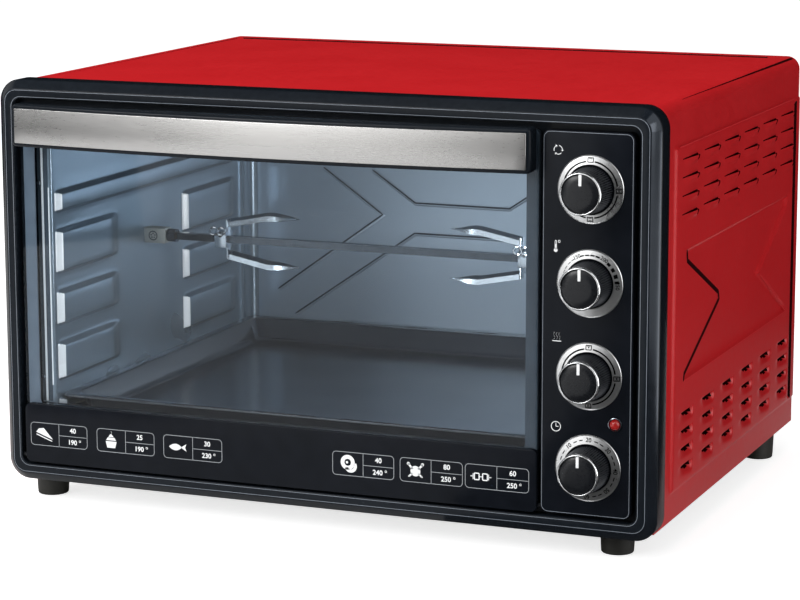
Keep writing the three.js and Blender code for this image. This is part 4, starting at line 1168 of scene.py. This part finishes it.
def make_rim_marks():
    bm = bmesh.new()
    for left, right, y in RIM_MARKS:
        box(
            bm, (left, y - RIM_MARK_HALF, TRAY_RIM_Z - 0.1),
            (right, y + RIM_MARK_HALF, TRAY_RIM_Z + 0.12),
        )
    finish_piece(bm, "tray_rim_marks", [slot_shade_dark], slot="tray_enamel")


# Handle: drawn straight, then bent to its bow
HANDLE = (-258.4, 183.4, 280, 314.4)
HANDLE_END_REACH = 15
HANDLE_MID_REACH = 28
HANDLE_MIDDLE = (HANDLE[0] + HANDLE[1]) / 2
HANDLE_HALF = (HANDLE[1] - HANDLE[0]) / 2
HANDLE_THICK = (11.4, 1.6)
HANDLE_CORNER = 3.5
HANDLE_ROUND = 2.2
HANDLE_ROOT_Y = 0.2
ROOT_MARK_Y = 200
HANDLE_STEP = 14
FACE = shrunk(HANDLE, 3.2)
FACE_THICK = 1.7


def bow(bm):
    """Bends a straight bar: its y is the depth behind the bowed face.

    What lies at ROOT_MARK_Y is the bar's root and goes to the door instead.
    """
    for vert in bm.verts:
        share = (vert.co.x - HANDLE_MIDDLE) / HANDLE_HALF
        reach = HANDLE_MID_REACH - (HANDLE_MID_REACH - HANDLE_END_REACH) * share * share
        vert.co.y = HANDLE_ROOT_Y if vert.co.y == ROOT_MARK_Y else vert.co.y - reach


def cut_stations(bm, low, high, step):
    for x in spaced(low, high, step)[1:]:
        cut(bm, (x, 0, 0), (1, 0, 0))


def make_handle():
    bm = bmesh.new()
    back, front = (
        outline(bm, HANDLE, HANDLE_CORNER, 6, facing_front(y)) for y in HANDLE_THICK
    )
    loft(bm, [back, front])
    cap(bm, front)
    cap(bm, back)
    soften(bm, front, HANDLE_ROUND, 5)
    close_shell(bm)
    cut_stations(bm, *HANDLE[:2], HANDLE_STEP)
    ends = []
    for face in bm.faces:
        middle = face.calc_center_median()
        if middle.y > 11 and HANDLE_HALF - abs(middle.x - HANDLE_MIDDLE) < HANDLE_STEP:
            ends.append(face)
    made = bmesh.ops.extrude_face_region(bm, geom=ends)
    bmesh.ops.delete(bm, geom=ends, context="FACES_ONLY")
    for vert in fresh_verts(made):
        vert.co.y = ROOT_MARK_Y
    bow(bm)
    bmesh.ops.recalc_face_normals(bm, faces=bm.faces)
    finish_piece(
        bm, "bowed_handle_bar", [frame_abs], "door", replaces=["handle_bar"], slot="frame_plastic"
    )

    bm = bmesh.new()
    slab(bm, FACE, 0.8, 3, (FACE_THICK, 0), 0.5)
    cut_stations(bm, *FACE[:2], 10)
    bow(bm)
    finish_piece(
        bm, "brushed_handle_face", [brushed_steel], "door", replaces=["handle_face"],
        slot="brushed_steel",
    )


# Dials and knobs
RIBS = 60
RIB_HALF = 0.8
RIBBED = (2.5, 22)
CREST_SHARE = 0.3
DIAL_INNER = 19.2
DIAL_OUTER = 25.3
DIAL_HIGH = 2.35
DIAL_LOW = 1.15
# Profiles as (radius, distance from the panel)
DIAL_PROFILE = (
    (18.9, 0.3), (18.9, 2.0), (DIAL_INNER, DIAL_HIGH), (DIAL_OUTER, DIAL_LOW),
    (25.7, DIAL_LOW + 0.15), (26.1, DIAL_LOW - 0.2), (26.2, 0.6), (26.2, 0.3),
)
GRIP_PROFILE = (
    (17.0, 0.7), (17.6, 1.4), (17.5, 3.0), (17.3, 8.0), (16.7, 16.0), (16.3, 21.5),
    (15.9, 22.6), (15.0, 23.2), (14.4, 23.2),
)
KNOB_FACE_PROFILE = (
    (14.6, 22.9), (14.2, 25.6), (13.9, 25.9), (9, 26.15), (4, 26.25), (0, 26.28),
)
CHROME_PROFILE = (
    (14.7, 23.3), (14.6, 25.5), (14.8, 26.3), (15.2, 26.6), (15.8, 26.45), (16.25, 25.8),
    (16.4, 24.9), (16.3, 23.7), (15.8, 23.3), (14.7, 23.3),
)
POINTER_HALF = 1.15
POINTER_DEPTHS = (25.7, 26.5)
POINTER_REACH = (6, 14.5)


def make_dial(name, z):
    turned_piece(
        DIAL_PROFILE, (CONTROL_X, PANEL_Y, z), 96, f"turned_dial_ring_{name}", [dial_steel],
        replaces=[f"dial_ring_{name}"], slot="brushed_steel", crease=25,
    )


def make_knob(name, z):
    body = f"{name}_knob"
    bm = bmesh.new()
    centre = Vector((CONTROL_X, PANEL_Y, z))
    turned(bm, GRIP_PROFILE, centre, TOWARDS_VIEWER, RIBS * 4)
    for vert in bm.verts:
        out = Vector((vert.co.x - centre.x, 0, vert.co.z - centre.z))
        if RIBBED[0] < PANEL_Y - vert.co.y < RIBBED[1] and out.length > 10:
            turn = math.atan2(out.z, out.x)
            vert.co += out.normalized() * RIB_HALF * (math.cos(RIBS * turn) - 1)
    # Crests of the ribs take the paler copy of the ABS, a painted highlight
    for face in bm.faces:
        middle = face.calc_center_median() - centre
        crest = math.cos(RIBS * math.atan2(middle.z, middle.x)) > CREST_SHARE
        face.material_index = crest and RIBBED[0] + 0.5 < -middle.y < RIBBED[1]
    close_shell(bm)
    turned(bm, KNOB_FACE_PROFILE, centre, TOWARDS_VIEWER, 64)
    close_shell(bm)
    finish_piece(
        bm, f"ribbed_knob_{name}", [knob_abs, highlit_crest_abs], body, replaces=[f"knob_{name}"],
        slot="knob_black", crease=50,
    )
    turned_piece(
        CHROME_PROFILE, centre, 96, f"knob_chrome_ring_{name}", [chrome], body,
        replaces=[f"knob_trim_{name}"], slot="chrome", crease=60,
    )
    bm = bmesh.new()
    inner, outer = POINTER_DEPTHS
    low, high = POINTER_REACH
    box(
        bm, (CONTROL_X - POINTER_HALF, PANEL_Y - outer, z + low),
        (CONTROL_X + POINTER_HALF, PANEL_Y - inner, z + high),
    )
    soften(bm, list(bm.edges), 0.25, 2)
    finish_piece(bm, f"knob_pointer_{name}", [white_ink], body, slot="knob_black")


# Rotisserie forks: folded prongs on a hub, clamped by a looped screw
FORKS = {"left": (-169.6, -158.3, 1, 66), "right": (118, 107, -1, 58)}
HUB_HALF = 7
HUB_LONG = 11
ROOT_PLATE = (0.8, 4, 3.4)
PRONG_ROOT = 14
PRONG_SPREAD = 21
PRONG_BEND = 36
TAPER_START = 41
PRONG_FOLD = ((4.2, 3.4), (-1.6, 0.9), (-2.4, -3.4))
PRONG_SHEET = 0.7
SCREW_TILT = math.radians(30)
SCREW_PROFILE = ((0, 4.2), (2, 4.2), (2, 11), (2.9, 11.4), (2.9, 12.6), (0, 12.8))
LOOP_REACH = 14.5
LOOP_APART = 3.6
LOOP_UP = 1.2
LOOP_RADIUS = 3.2
LOOP_WIRE = 0.9
LOOP_FACING = Vector((0.25, -0.9, 0.35)).normalized()


def prong_rows(bm, face, way, long, side):
    """Folded cross sections of one prong, from its root to its tip."""
    rows = []
    for along in (0, 4, 14, 25, PRONG_BEND, TAPER_START, 46, 54, 62, long):
        share = min(1.0, along / PRONG_BEND)
        height = side * (PRONG_ROOT + (PRONG_SPREAD - PRONG_ROOT) * share)
        size = 1.0
        turn = 0.0
        if along >= TAPER_START:
            gone = (along - TAPER_START) / (long - TAPER_START)
            size = max(0.04, 1 - 0.96 * gone ** 1.3)
            turn = 1.4 * smooth(TAPER_START, TAPER_START + 9, along)
        row = [
            bm.verts.new((
                face + way * along, SPIT_Y + (depth - turn * (up < 0)) * size,
                SPIT_Z + height + up * size,
            ))
            for depth, up in PRONG_FOLD
        ]
        rows.append([bm.edges.new(pair) for pair in zip(row, row[1:])])
    return rows


def make_fork(name, back, face, way, long):
    bm = bmesh.new()
    lower = min(back, face)
    box(
        bm, (lower, SPIT_Y - HUB_HALF, SPIT_Z - HUB_HALF),
        (lower + HUB_LONG, SPIT_Y + HUB_HALF, SPIT_Z + HUB_HALF),
    )
    thick, deep, tall = ROOT_PLATE
    tall += PRONG_ROOT
    box(
        bm, (face - way - thick, SPIT_Y - deep, SPIT_Z - tall),
        (face - way + thick, SPIT_Y + deep, SPIT_Z + tall),
    )
    soften(bm, list(bm.edges), 0.7, 2)
    for side in (-1, 1):
        before = list(bm.faces)
        loft(bm, prong_rows(bm, face, way, long, side))
        fresh = [f for f in bm.faces if f not in before]
        bmesh.ops.recalc_face_normals(bm, faces=fresh)
        probe = min(fresh, key=lambda f: f.calc_center_median().z)
        probe.normal_update()
        if probe.normal.y > 0:
            bmesh.ops.reverse_faces(bm, faces=fresh)
        bmesh.ops.solidify(bm, geom=fresh, thickness=PRONG_SHEET)
    finish_piece(
        bm, f"folded_{name}_fork", [fork_steel], f"{name}_fork", replaces=[f"fork_{name}"],
        slot="chrome", crease=25,
    )

    bm = bmesh.new()
    axis = Vector((0, -math.cos(SCREW_TILT), math.sin(SCREW_TILT)))
    hub = Vector(((back + face) / 2, SPIT_Y, SPIT_Z))
    turned(bm, SCREW_PROFILE, hub, axis, 20)
    for wing in (-1, 1):
        centre = hub + axis * LOOP_REACH + Vector((wing * LOOP_APART, 0, LOOP_UP))
        ring = [
            (LOOP_RADIUS + LOOP_WIRE * math.cos(a), LOOP_WIRE * math.sin(a))
            for a in (i * QUARTER / 2 for i in range(9))
        ]
        turned(bm, ring, centre, LOOP_FACING, 28)
    close_shell(bm)
    finish_piece(
        bm, f"looped_{name}_screw", [chrome], f"{name}_wing_screw",
        replaces=[f"wing_screw_{name}"], slot="zinc_steel", crease=40,
    )


# Lamp and feet
LAMP = (247.6, PANEL_Y, 91.1)
LENS_RADIUS = 4.2
LENS_RISE = 3.5
BEZEL_PROFILE = ((4.4, 0.3), (4.4, 1.3), (4.8, 1.7), (5.3, 1.5), (5.6, 0.9), (5.6, 0.3))


def make_lamp():
    dome = [
        (LENS_RADIUS * math.cos(a), 0.3 + LENS_RISE * math.sin(a))
        for a in (0, 0.3, 0.6, 0.9, 1.2, 1.4)
    ]
    turned_piece(
        dome + [(0, 0.3 + LENS_RISE)], LAMP, 40, "domed_lamp_lens", [lens_red],
        replaces=["lamp_lens"], slot="lens_red",
    )
    turned_piece(
        BEZEL_PROFILE, LAMP, 40, "lamp_bezel", [nickel], replaces=["lamp_ring"], slot="chrome"
    )


FEET = {
    "foot_front_left": (-259, 41), "foot_front_right": (238, 41),
    "foot_rear_left": (-258, 381), "foot_rear_right": (258, 381),
}
FOOT_PROFILE = (
    (0, -19.5), (10.9, -19.5), (12.2, -19.1), (12.8, -18.3), (13.1, -14), (13.7, 1.0),
    (14, 3.9), (0, 3.9),
)


def make_feet():
    for node, (x, y) in FEET.items():
        turned_piece(
            FOOT_PROFILE, (x, y, 0), 48, f"moulded_{node}", [rubber], axis=(0, 0, 1),
            replaces=[node], slot="rubber_black",
        )


# Prints: thin marks laid just proud of what carries them
INK_RISE = 0.06


def ink_disc(bm, x, z, radius, steps=20):
    lay = Matrix.Translation((x, 0, z)) @ Matrix.Rotation(QUARTER, 4, "X")
    bmesh.ops.create_circle(bm, cap_ends=True, segments=steps, radius=radius, matrix=lay)


def ink_line(bm, start, end, width):
    """A straight stroke with round ends between two points (x, z)."""
    run = Vector((end[0] - start[0], 0, end[1] - start[1]))
    middle = Vector(((start[0] + end[0]) / 2, 0, (start[1] + end[1]) / 2))
    turn = math.atan2(run.z, run.x)
    lay = (
        Matrix.Translation(middle)
        @ Matrix.Rotation(-turn, 4, "Y")
        @ Matrix.Rotation(QUARTER, 4, "X")
        @ Matrix.Diagonal((run.length / 2, width / 2, 1, 1))
    )
    bmesh.ops.create_grid(bm, x_segments=1, y_segments=1, size=1.0, matrix=lay)


def ink_path(bm, points, width):
    for start, end in zip(points, points[1:]):
        ink_line(bm, start, end, width)
    for x, z in points:
        ink_disc(bm, x, z, width / 2, 10)


def ink_shape(bm, points):
    """A filled shape with its corners at points (x, z)."""
    bm.faces.new([bm.verts.new((x, 0, z)) for x, z in points])


def ink_arc(bm, x, z, radius, width, first, last):
    """A curved stroke; angles in degrees run clockwise from the top."""
    turn = math.radians(first)
    side = Vector((math.sin(turn), 0, math.cos(turn)))
    centre = Vector((x, 0, z))
    ends = [bm.verts.new(centre + side * (radius + d)) for d in (-width / 2, width / 2)]
    bmesh.ops.spin(
        bm, geom=[*ends, bm.edges.new(ends)], cent=centre, axis=(0, 1, 0), dvec=(0, 0, 0),
        angle=math.radians(last - first), steps=max(3, round(abs(last - first) / 6)),
        use_merge=False, use_duplicate=False,
    )


def ink_box(bm, edges, radius, width):
    """A thin rounded outline."""
    lay = facing_front(0)
    outer = outline(bm, edges, radius, 5, lay)
    inner = outline(bm, shrunk(edges, width), max(0.2, radius - width), 5, lay)
    loft(bm, [outer, inner])


def ink_text(bm, words, size, x, z, turn=0.0):
    """Numbers set in Blender's own face, centred on (x, z) and turned clockwise."""
    curve = bpy.data.curves.new("setting", "FONT")
    curve.body = words
    curve.size = size
    curve.align_x = "CENTER"
    curve.align_y = "CENTER"
    curve.resolution_u = 4
    curve.offset = size * 0.022
    holder = bpy.data.objects.new("setting", curve)
    mesh = bpy.data.meshes.new_from_object(holder)
    lay = (
        Matrix.Translation((x, 0, z))
        @ Matrix.Rotation(math.radians(turn), 4, "Y")
        @ Matrix.Rotation(QUARTER, 4, "X")
    )
    mesh.transform(lay)
    bm.from_mesh(mesh)
    bpy.data.objects.remove(holder)
    bpy.data.curves.remove(curve)
    bpy.data.meshes.remove(mesh)


def around(centre, radius, turn):
    """The point (x, z) at an angle in degrees, clockwise from the top of a centre."""
    angle = math.radians(turn)
    return centre[0] + radius * math.sin(angle), centre[1] + radius * math.cos(angle)


def finish_print(bm, name, ink, y, body="root", slot="panel_black", dial=None):
    """Lays a print at a depth y, or on the cone of the dial whose height is given."""
    for vert in bm.verts:
        if dial is None:
            vert.co.y = y - INK_RISE
            continue
        out = math.hypot(vert.co.x - CONTROL_X, vert.co.z - dial)
        share = (out - DIAL_INNER) / (DIAL_OUTER - DIAL_INNER)
        vert.co.y = PANEL_Y - DIAL_HIGH + (DIAL_HIGH - DIAL_LOW) * share - INK_RISE
    turn_to_front(bm)
    finish_piece(bm, name, [ink], body, slot=slot)


SYMBOL_ARC = 21.4
DASH_ARC = 21.7
NUMBER_ARC = 22.1
TIMER_FIRST = -43
TIMER_STEP = 44.8


def print_symbol_dial(name, z):
    """Black arcs between three small squares with plain signs."""
    bm = bmesh.new()
    for first, last in ((-88, -9), (9, 81), (99, 171), (189, 262)):
        ink_arc(bm, CONTROL_X, z, SYMBOL_ARC, 1.2, first, last)
    for index, turn in enumerate((0, 90, 180)):
        x, up = around((CONTROL_X, z), 22.4, turn)
        ink_box(bm, (x - 2.5, x + 2.5, up - 2.0, up + 2.0), 0.5, 0.7)
        ink_line(bm, (x - 1.3, up + 0.8), (x + 1.3, up + 0.8), 0.45)
        if index:
            ink_line(bm, (x - 1.3, up - 0.8), (x + 1.3, up - 0.8), 0.45)
        if name == "heat" or index == 1:
            ink_disc(bm, x, up, 0.55, 10)
    finish_print(bm, f"dial_print_{name}", dark_ink, 0, slot="brushed_steel", dial=z)


def print_temperature_dial(z):
    bm = bmesh.new()
    for turn, width, half in (
        (-78, 0.4, 3.4), (-68, 0.45, 3.4), (-58, 0.5, 3.4), (-47, 0.55, 3.4), (-37, 0.6, 3.4),
        (-16, 1.0, 4.6), (-5, 1.1, 4.6), (6, 1.2, 4.6), (17, 1.3, 4.6), (44, 2.2, 4),
        (58, 2.6, 4), (72, 3.0, 4), (84, 3.2, 2.5),
    ):
        ink_arc(bm, CONTROL_X, z, DASH_ARC, width, turn - half, turn + half)
    for words, turn in (("100", -92), ("150", -27), ("200", 31), ("250", 91)):
        ink_text(bm, words, 4.1, *around((CONTROL_X, z), NUMBER_ARC, turn), turn=turn)
    finish_print(bm, "dial_print_temperature", dark_ink, 0, slot="brushed_steel", dial=z)


def print_timer_dial(z):
    bm = bmesh.new()
    middles = [-60, -73]
    for number in range(1, 7):
        turn = TIMER_FIRST + TIMER_STEP * (number - 1)
        place = around((CONTROL_X, z), NUMBER_ARC, turn)
        ink_text(bm, str(number * 10), 4.6, *place, turn=turn)
        if number < 6:
            middles += [turn + TIMER_STEP * share for share in (0.36, 0.64)]
    for middle in middles:
        ink_arc(bm, CONTROL_X, z, NUMBER_ARC, 0.8, middle - 4, middle + 4)
    finish_print(bm, "dial_print_timer", dark_ink, 0, slot="brushed_steel", dial=z)


def wave(x, z, tall, width, turns=2, steps=16):
    """Points of a wavy upright stroke."""
    return [
        (x + width * math.sin(i / steps * turns * math.pi), z + tall * (i / steps - 0.5))
        for i in range(steps + 1)
    ]


SIGN_X = 200.4
SIGN_ZS = {"arrows": 297.8, "thermometer": 224.9, "heat": 155.1, "clock": 85.8}


def print_panel_signs():
    """Plain signs beside the knobs: turning arrows, thermometer, rising heat, clock."""
    bm = bmesh.new()
    x = SIGN_X
    z = SIGN_ZS["arrows"]
    for first in (12, 132, 252):
        ink_arc(bm, x, z, 3.3, 0.55, first, first + 84)
        arrow = ((3.4, first + 96), (4.5, first + 78), (2.2, first + 78))
        ink_shape(bm, [around((x, z), radius, turn) for radius, turn in arrow])
    z = SIGN_ZS["thermometer"]
    ink_box(bm, (x - 2.1, x - 0.5, z - 2.6, z + 4.4), 0.7, 0.4)
    ink_disc(bm, x - 1.3, z - 3.2, 1.5)
    ink_line(bm, (x - 1.3, z - 2.6), (x - 1.3, z + 1.6), 0.6)
    ink_arc(bm, x + 1.4, z + 3.6, 0.8, 0.4, 0, 360)
    z = SIGN_ZS["heat"]
    for step in (-2.0, 0.1, 2.2):
        ink_path(bm, wave(x + step, z + 0.9, 4.8, 0.55), 0.5)
    ink_line(bm, (x - 3.4, z - 3.0), (x + 3.6, z - 3.0), 0.6)
    z = SIGN_ZS["clock"]
    ink_arc(bm, x, z, 3.7, 0.55, 0, 360)
    ink_path(bm, [(x, z + 2.5), (x, z), (x + 1.8, z)], 0.5)
    finish_print(bm, "panel_signs", white_ink, PANEL_Y)


STRIP_BOXES = (
    (-255.6, "slice", "40", "190"), (-194.3, "cake", "25", "190"), (-133.6, "fish", "30", "230"),
    (15.2, "steak", "40", "240"), (72.6, "bird", "80", "250"), (127.0, "plate", "60", "250"),
)
BOX_WIDE = 52.5
BOX_LOW = 31.2
BOX_HIGH = 50.5


def food_sign(bm, kind, x, z):
    """Plain food signs of this oven's own drawing, about 14 mm wide."""

    def shape(*points):
        ink_shape(bm, [(x + right, z + up) for right, up in points])

    def stroke(width, *points):
        ink_path(bm, [(x + right, z + up) for right, up in points], width)

    if kind == "slice":
        shape((-8, 1.5), (-5.5, 4.5), (-1, 5.2), (7.5, -4))
        stroke(0.8, (-7.6, -0.4), (6.4, -5.4))
    elif kind == "cake":
        shape((-5, -0.6), (-3.6, -6), (3.6, -6), (5, -0.6))
        shape((-4.6, 0.2), (4.6, 0.2), (3, 2.6), (-3, 2.6))
        shape((-2.4, 3.1), (2.4, 3.1), (0.4, 5.4), (-0.6, 5.4))
        stroke(0.5, *wave(0.2, 6.4, 2.4, 0.4, 1, 6))
    elif kind == "fish":
        turns = [math.pi * i / 12 for i in range(13)]
        back = [(-8 + 11.5 * turn / math.pi, 2.7 * math.sin(turn) ** 0.8) for turn in turns]
        belly = [(right, -up) for right, up in reversed(back[1:-1])]
        shape(*back, *belly)
        shape((2.4, 0), (7.6, 3), (6.4, 0), (7.6, -3))
    elif kind == "steak":
        ink_arc(bm, x, z + 1.2, 4.4, 3.2, 0, 360)
        ink_arc(bm, x + 2.5, z - 1.6, 4.0, 2.6, 60, 250)
        ink_disc(bm, x - 0.6, z + 1.2, 1.0)
    elif kind == "bird":
        ink_disc(bm, x, z - 0.6, 4.2)
        for side in (-1, 1):
            stroke(1.7, (side * 3, 1.5), (side * 5.6, 4.6))
            ink_disc(bm, x + side * 5.9, z + 5.0, 1.3)
            stroke(1.4, (side * 3, -3), (side * 5.4, -5))
    else:
        for side in (-1, 1):
            middle = x + side * 3.4
            ink_box(bm, (middle - 2.4, middle + 2.4, z - 3, z + 3), 1, 0.9)
            stroke(0.7, (side * 6.4, -2), (side * 6.4, 2))
            stroke(0.7, (side * 6.4, 0), (side * 8.4, 0))
        ink_line(bm, (x - 1.0, z), (x + 1.0, z), 0.7)


def print_strip_signs():
    """Boxes with a food sign, minutes and degrees along the door's lower strip."""
    marks = bmesh.new()
    lines = bmesh.new()
    for left, kind, minutes, degrees in STRIP_BOXES:
        middle = left + BOX_WIDE / 2
        right = left + BOX_WIDE
        level = (BOX_LOW + BOX_HIGH) / 2
        ink_box(lines, (left, right, BOX_LOW, BOX_HIGH), 3.2, 0.42)
        ink_line(lines, (middle, BOX_LOW), (middle, BOX_HIGH), 0.4)
        ink_line(lines, (middle, level), (right, level), 0.4)
        food_sign(marks, kind, (left + middle) / 2, level)
        ink_text(marks, minutes, 5.6, middle + 13, level + 4.7)
        ink_text(marks, degrees, 5.6, middle + 12.4, level - 5.0)
        ink_arc(marks, middle + 19.3, level - 3.4, 0.75, 0.4, 0, 360)
    finish_print(lines, "strip_boxes", grey_ink, DOOR_Y, "door", "frame_plastic")
    finish_print(marks, "strip_signs", white_ink, DOOR_Y, "door", "frame_plastic")


EDGE_LINE = 0.34


def print_edge_lines():
    """Thin pale lines along the rounded edges of the panel and of the front frame: painted
    highlights.
    """
    bm = bmesh.new()
    ink_box(bm, shrunk(PANEL, 1.0), PANEL_CORNER - 1, EDGE_LINE)
    finish_print(bm, "panel_edge_line", highlit_edge_lines, PANEL_Y)
    bm = bmesh.new()
    ink_box(bm, shrunk(MOUTH, -1.5), MOUTH_CORNER + 1.5, EDGE_LINE)
    inset = CHAMFER + 0.8
    ink_box(bm, shrunk(FRAME, inset), FRAME_CORNER - inset, EDGE_LINE)
    finish_print(bm, "frame_edge_lines", highlit_edge_lines, 0, slot="frame_plastic")


make_front_frame()
make_control_panel()
make_housing()
make_creases()
make_cavity_side("pressed_left_wall", "cavity_left_wall", CAVITY[0], -1)
make_cavity_side("pressed_right_wall", "cavity_right_wall", CAVITY[1], 1)
make_rear_wall()
make_tray()
make_kick_strip()
make_inner_frame()
make_cavity_lip()
make_spit_holder()
make_rim_marks()
make_handle()
for side_name, sizes in FORKS.items():
    make_fork(side_name, *sizes)
for control, height in CONTROL_ZS.items():
    make_dial(control, height)
    make_knob(control, height)
print_symbol_dial("mode", CONTROL_ZS["mode"])
print_symbol_dial("heat", CONTROL_ZS["heat"])
print_temperature_dial(CONTROL_ZS["temperature"])
print_timer_dial(CONTROL_ZS["timer"])
print_panel_signs()
print_strip_signs()
print_edge_lines()
make_lamp()
make_feet()


# Surfaces of the solids that stay as they are
kept = {
    zinc: (
        "base_plate", "back_panel", "drive_socket", *(f"shaft_{name}" for name in CONTROL_ZS),
    ),
    shaded_pin_steel: ("hinge_pin_left", "hinge_pin_right"),
    rubber: ("cord_inlet",),
    cavity_glaze: ("cavity_floor", "cavity_top_wall"),
    element_oxide: [
        f"{level}_element_{end}" for level in ("upper", "lower") for end in ("front", "rear")
    ],
    spit_steel: ("spit_rod", "spit_collar"),
    switch_plastic: ("spit_motor", "mode_switch", "thermostat", "heat_switch", "timer"),
    pane_glass: ("door_glass",),
}
for surface, names in kept.items():
    for node in names:
        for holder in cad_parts[node].material_slots:
            holder.material = surface


# Stage: a pale floor that keeps the oven's shadow, and soft studio light
FLOOR_HALF = 12.0
FLOOR_GLOW = 0.72
SURROUND_LIGHT = 0.4
SURROUND_SEEN = 1.0


def either(tree, first, second):
    """The socket that is on when one of two others is."""
    return add_node(tree, "ShaderNodeMath", {0: first, 1: second}, operation="MAXIMUM").outputs[0]


def make_floor():
    material, tree = new_surface("pale_studio_floor")
    bm = bmesh.new()
    bmesh.ops.create_grid(bm, x_segments=1, y_segments=1, size=FLOOR_HALF)
    floor = add_mesh(bm, "studio_floor", [material])
    rays = add_node(tree, "ShaderNodeLightPath").outputs
    seen = either(tree, rays["Is Camera Ray"], rays["Is Transmission Ray"])
    share = add_node(tree, "ShaderNodeMath", {0: seen, 1: FLOOR_GLOW}, operation="MULTIPLY")
    plain = add_node(tree, "ShaderNodeBsdfDiffuse", {"Color": linear("e4e4e4")})
    glow = add_node(tree, "ShaderNodeEmission", {"Strength": share.outputs[0]})
    both = {0: plain.outputs[0], 1: glow.outputs[0]}
    close_surface(tree, add_node(tree, "ShaderNodeAddShader", both))


def make_world():
    world = bpy.data.worlds.new("studio_surround")
    bpy.context.scene.world = world
    world.use_nodes = True
    tree = world.node_tree
    tree.nodes.clear()
    rays = add_node(tree, "ShaderNodeLightPath").outputs
    clear = either(tree, rays["Is Camera Ray"], rays["Is Transmission Ray"])
    sides = {0: either(tree, clear, rays["Is Glossy Ray"])}
    for index, strength in ((1, SURROUND_LIGHT), (2, SURROUND_SEEN)):
        white = {"Color": (1, 1, 1, 1), "Strength": strength}
        sides[index] = add_node(tree, "ShaderNodeBackground", white).outputs[0]
    both = add_node(tree, "ShaderNodeMixShader", sides)
    add_node(tree, "ShaderNodeOutputWorld", {"Surface": both.outputs[0]})


def add_softbox(name, place, target, width, height, watts):
    lamp = bpy.data.lights.new(name, "AREA")
    lamp.shape = "RECTANGLE"
    lamp.size = width
    lamp.size_y = height
    lamp.energy = watts
    holder = add_object(name, lamp)
    aim = Vector(target) - Vector(place)
    holder.rotation_mode = "QUATERNION"
    holder.rotation_quaternion = aim.to_track_quat("-Z", "Y")
    holder.location = place


# The fitted camera: its place in metres, its angles in radians and its lens in millimetres
CAMERA_PLACE = (0.88243, -2.18681, 0.59724)
CAMERA_YAW = 0.38786
CAMERA_PITCH = 0.18602
CAMERA_ROLL = -0.00206
CAMERA_LENS = 127.0


def make_camera():
    data = bpy.data.cameras.new("photo_camera")
    camera = add_object("photo_camera", data)
    bpy.context.scene.camera = camera
    data.sensor_width = 36.0
    data.lens = CAMERA_LENS
    data.clip_end = 60.0
    level = math.cos(CAMERA_PITCH)
    aim = Vector((
        -math.sin(CAMERA_YAW) * level, math.cos(CAMERA_YAW) * level, -math.sin(CAMERA_PITCH)
    ))
    turn = aim.to_track_quat("-Z", "Y").to_matrix().to_4x4()
    roll = Matrix.Rotation(CAMERA_ROLL, 4, "Z")
    camera.matrix_world = Matrix.Translation(CAMERA_PLACE) @ turn @ roll


def make_card(name, corner, along, up, surface):
    """A studio card that only reflections show: corner, one edge and the edge upwards."""
    bm = bmesh.new()
    made = bmesh.ops.create_grid(bm, x_segments=1, y_segments=1, size=0.5)
    run, rise = Vector(along), Vector(up)
    for vert in made["verts"]:
        vert.co = Vector(corner) + run * (vert.co.x + 0.5) + rise * (vert.co.y + 0.5)
    card = add_mesh(bm, name, [surface])
    for kind in ("camera", "diffuse", "shadow", "transmission"):
        setattr(card, f"visible_{kind}", False)


def card_surface(name, code, strength):
    """Card that takes no light: it shows in reflections at the tone it is given."""
    material, tree = new_surface(name)
    tone = {"Color": linear(code), "Strength": strength}
    close_surface(tree, add_node(tree, "ShaderNodeEmission", tone))
    return material


make_floor()
make_world()
black_card = card_surface("black_velvet_card", "0c0c0d", 1.0)
grey_card = card_surface("grey_felt_card", "444444", 1.0)
white_card = card_surface("white_lit_card", "ffffff", 5.0)
pale_card = card_surface("pale_lit_card", "fbfaf8", 1.25)
make_card("rear_flag", (-2.6, 0.75, 0.0), (4.4, 0, 0), (0, 0, 2.0), black_card)
make_card("left_flag", (-1.7, -0.3, 0.0), (0.9, -1.15, 0), (0, 0, 0.8), black_card)
make_card("right_flag", (-0.04, -1.38, 0.0), (1.2, 0.1, 0), (0, 0, 0.7), grey_card)
make_card("dial_flag", (0.1, -1.5, 0.002), (0.9, 0, 0), (0, 1.36, 0), grey_card)
make_card("top_flag", (-0.9, -0.9, 1.0), (1.5, 0, 0), (0, 1.3, 0), black_card)
make_card("side_flag", (0.34, -0.08, 0.003), (1.5, 0, 0), (0, 2.2, 0), black_card)
make_card("handle_card", (-0.8, -1.44, 0.05), (0.64, 0, 0), (0, 0, 0.6), pale_card)
make_card("frame_card", (0.7, -0.27, 0.0), (0.06, 0.3, 0), (0, 0, 0.3), white_card)
add_softbox("key_softbox", (-0.6, -1.0, 2.4), (0, 0, 0.2), 2.2, 2.2, 55)
add_softbox("front_softbox", (-1.6, -2.6, 1.3), (0, 0, 0.2), 1.4, 1.4, 56)
add_softbox("right_strip", (2.4, -1.4, 0.9), (0, 0, 0.2), 0.8, 1.6, 10)
add_softbox("cavity_strip", (0.155, -0.165, 0.222), (-0.1, 0.12, 0.19), 0.025, 0.2, 1.1)
make_camera()
bpy.context.scene.view_settings.view_transform = "Standard"
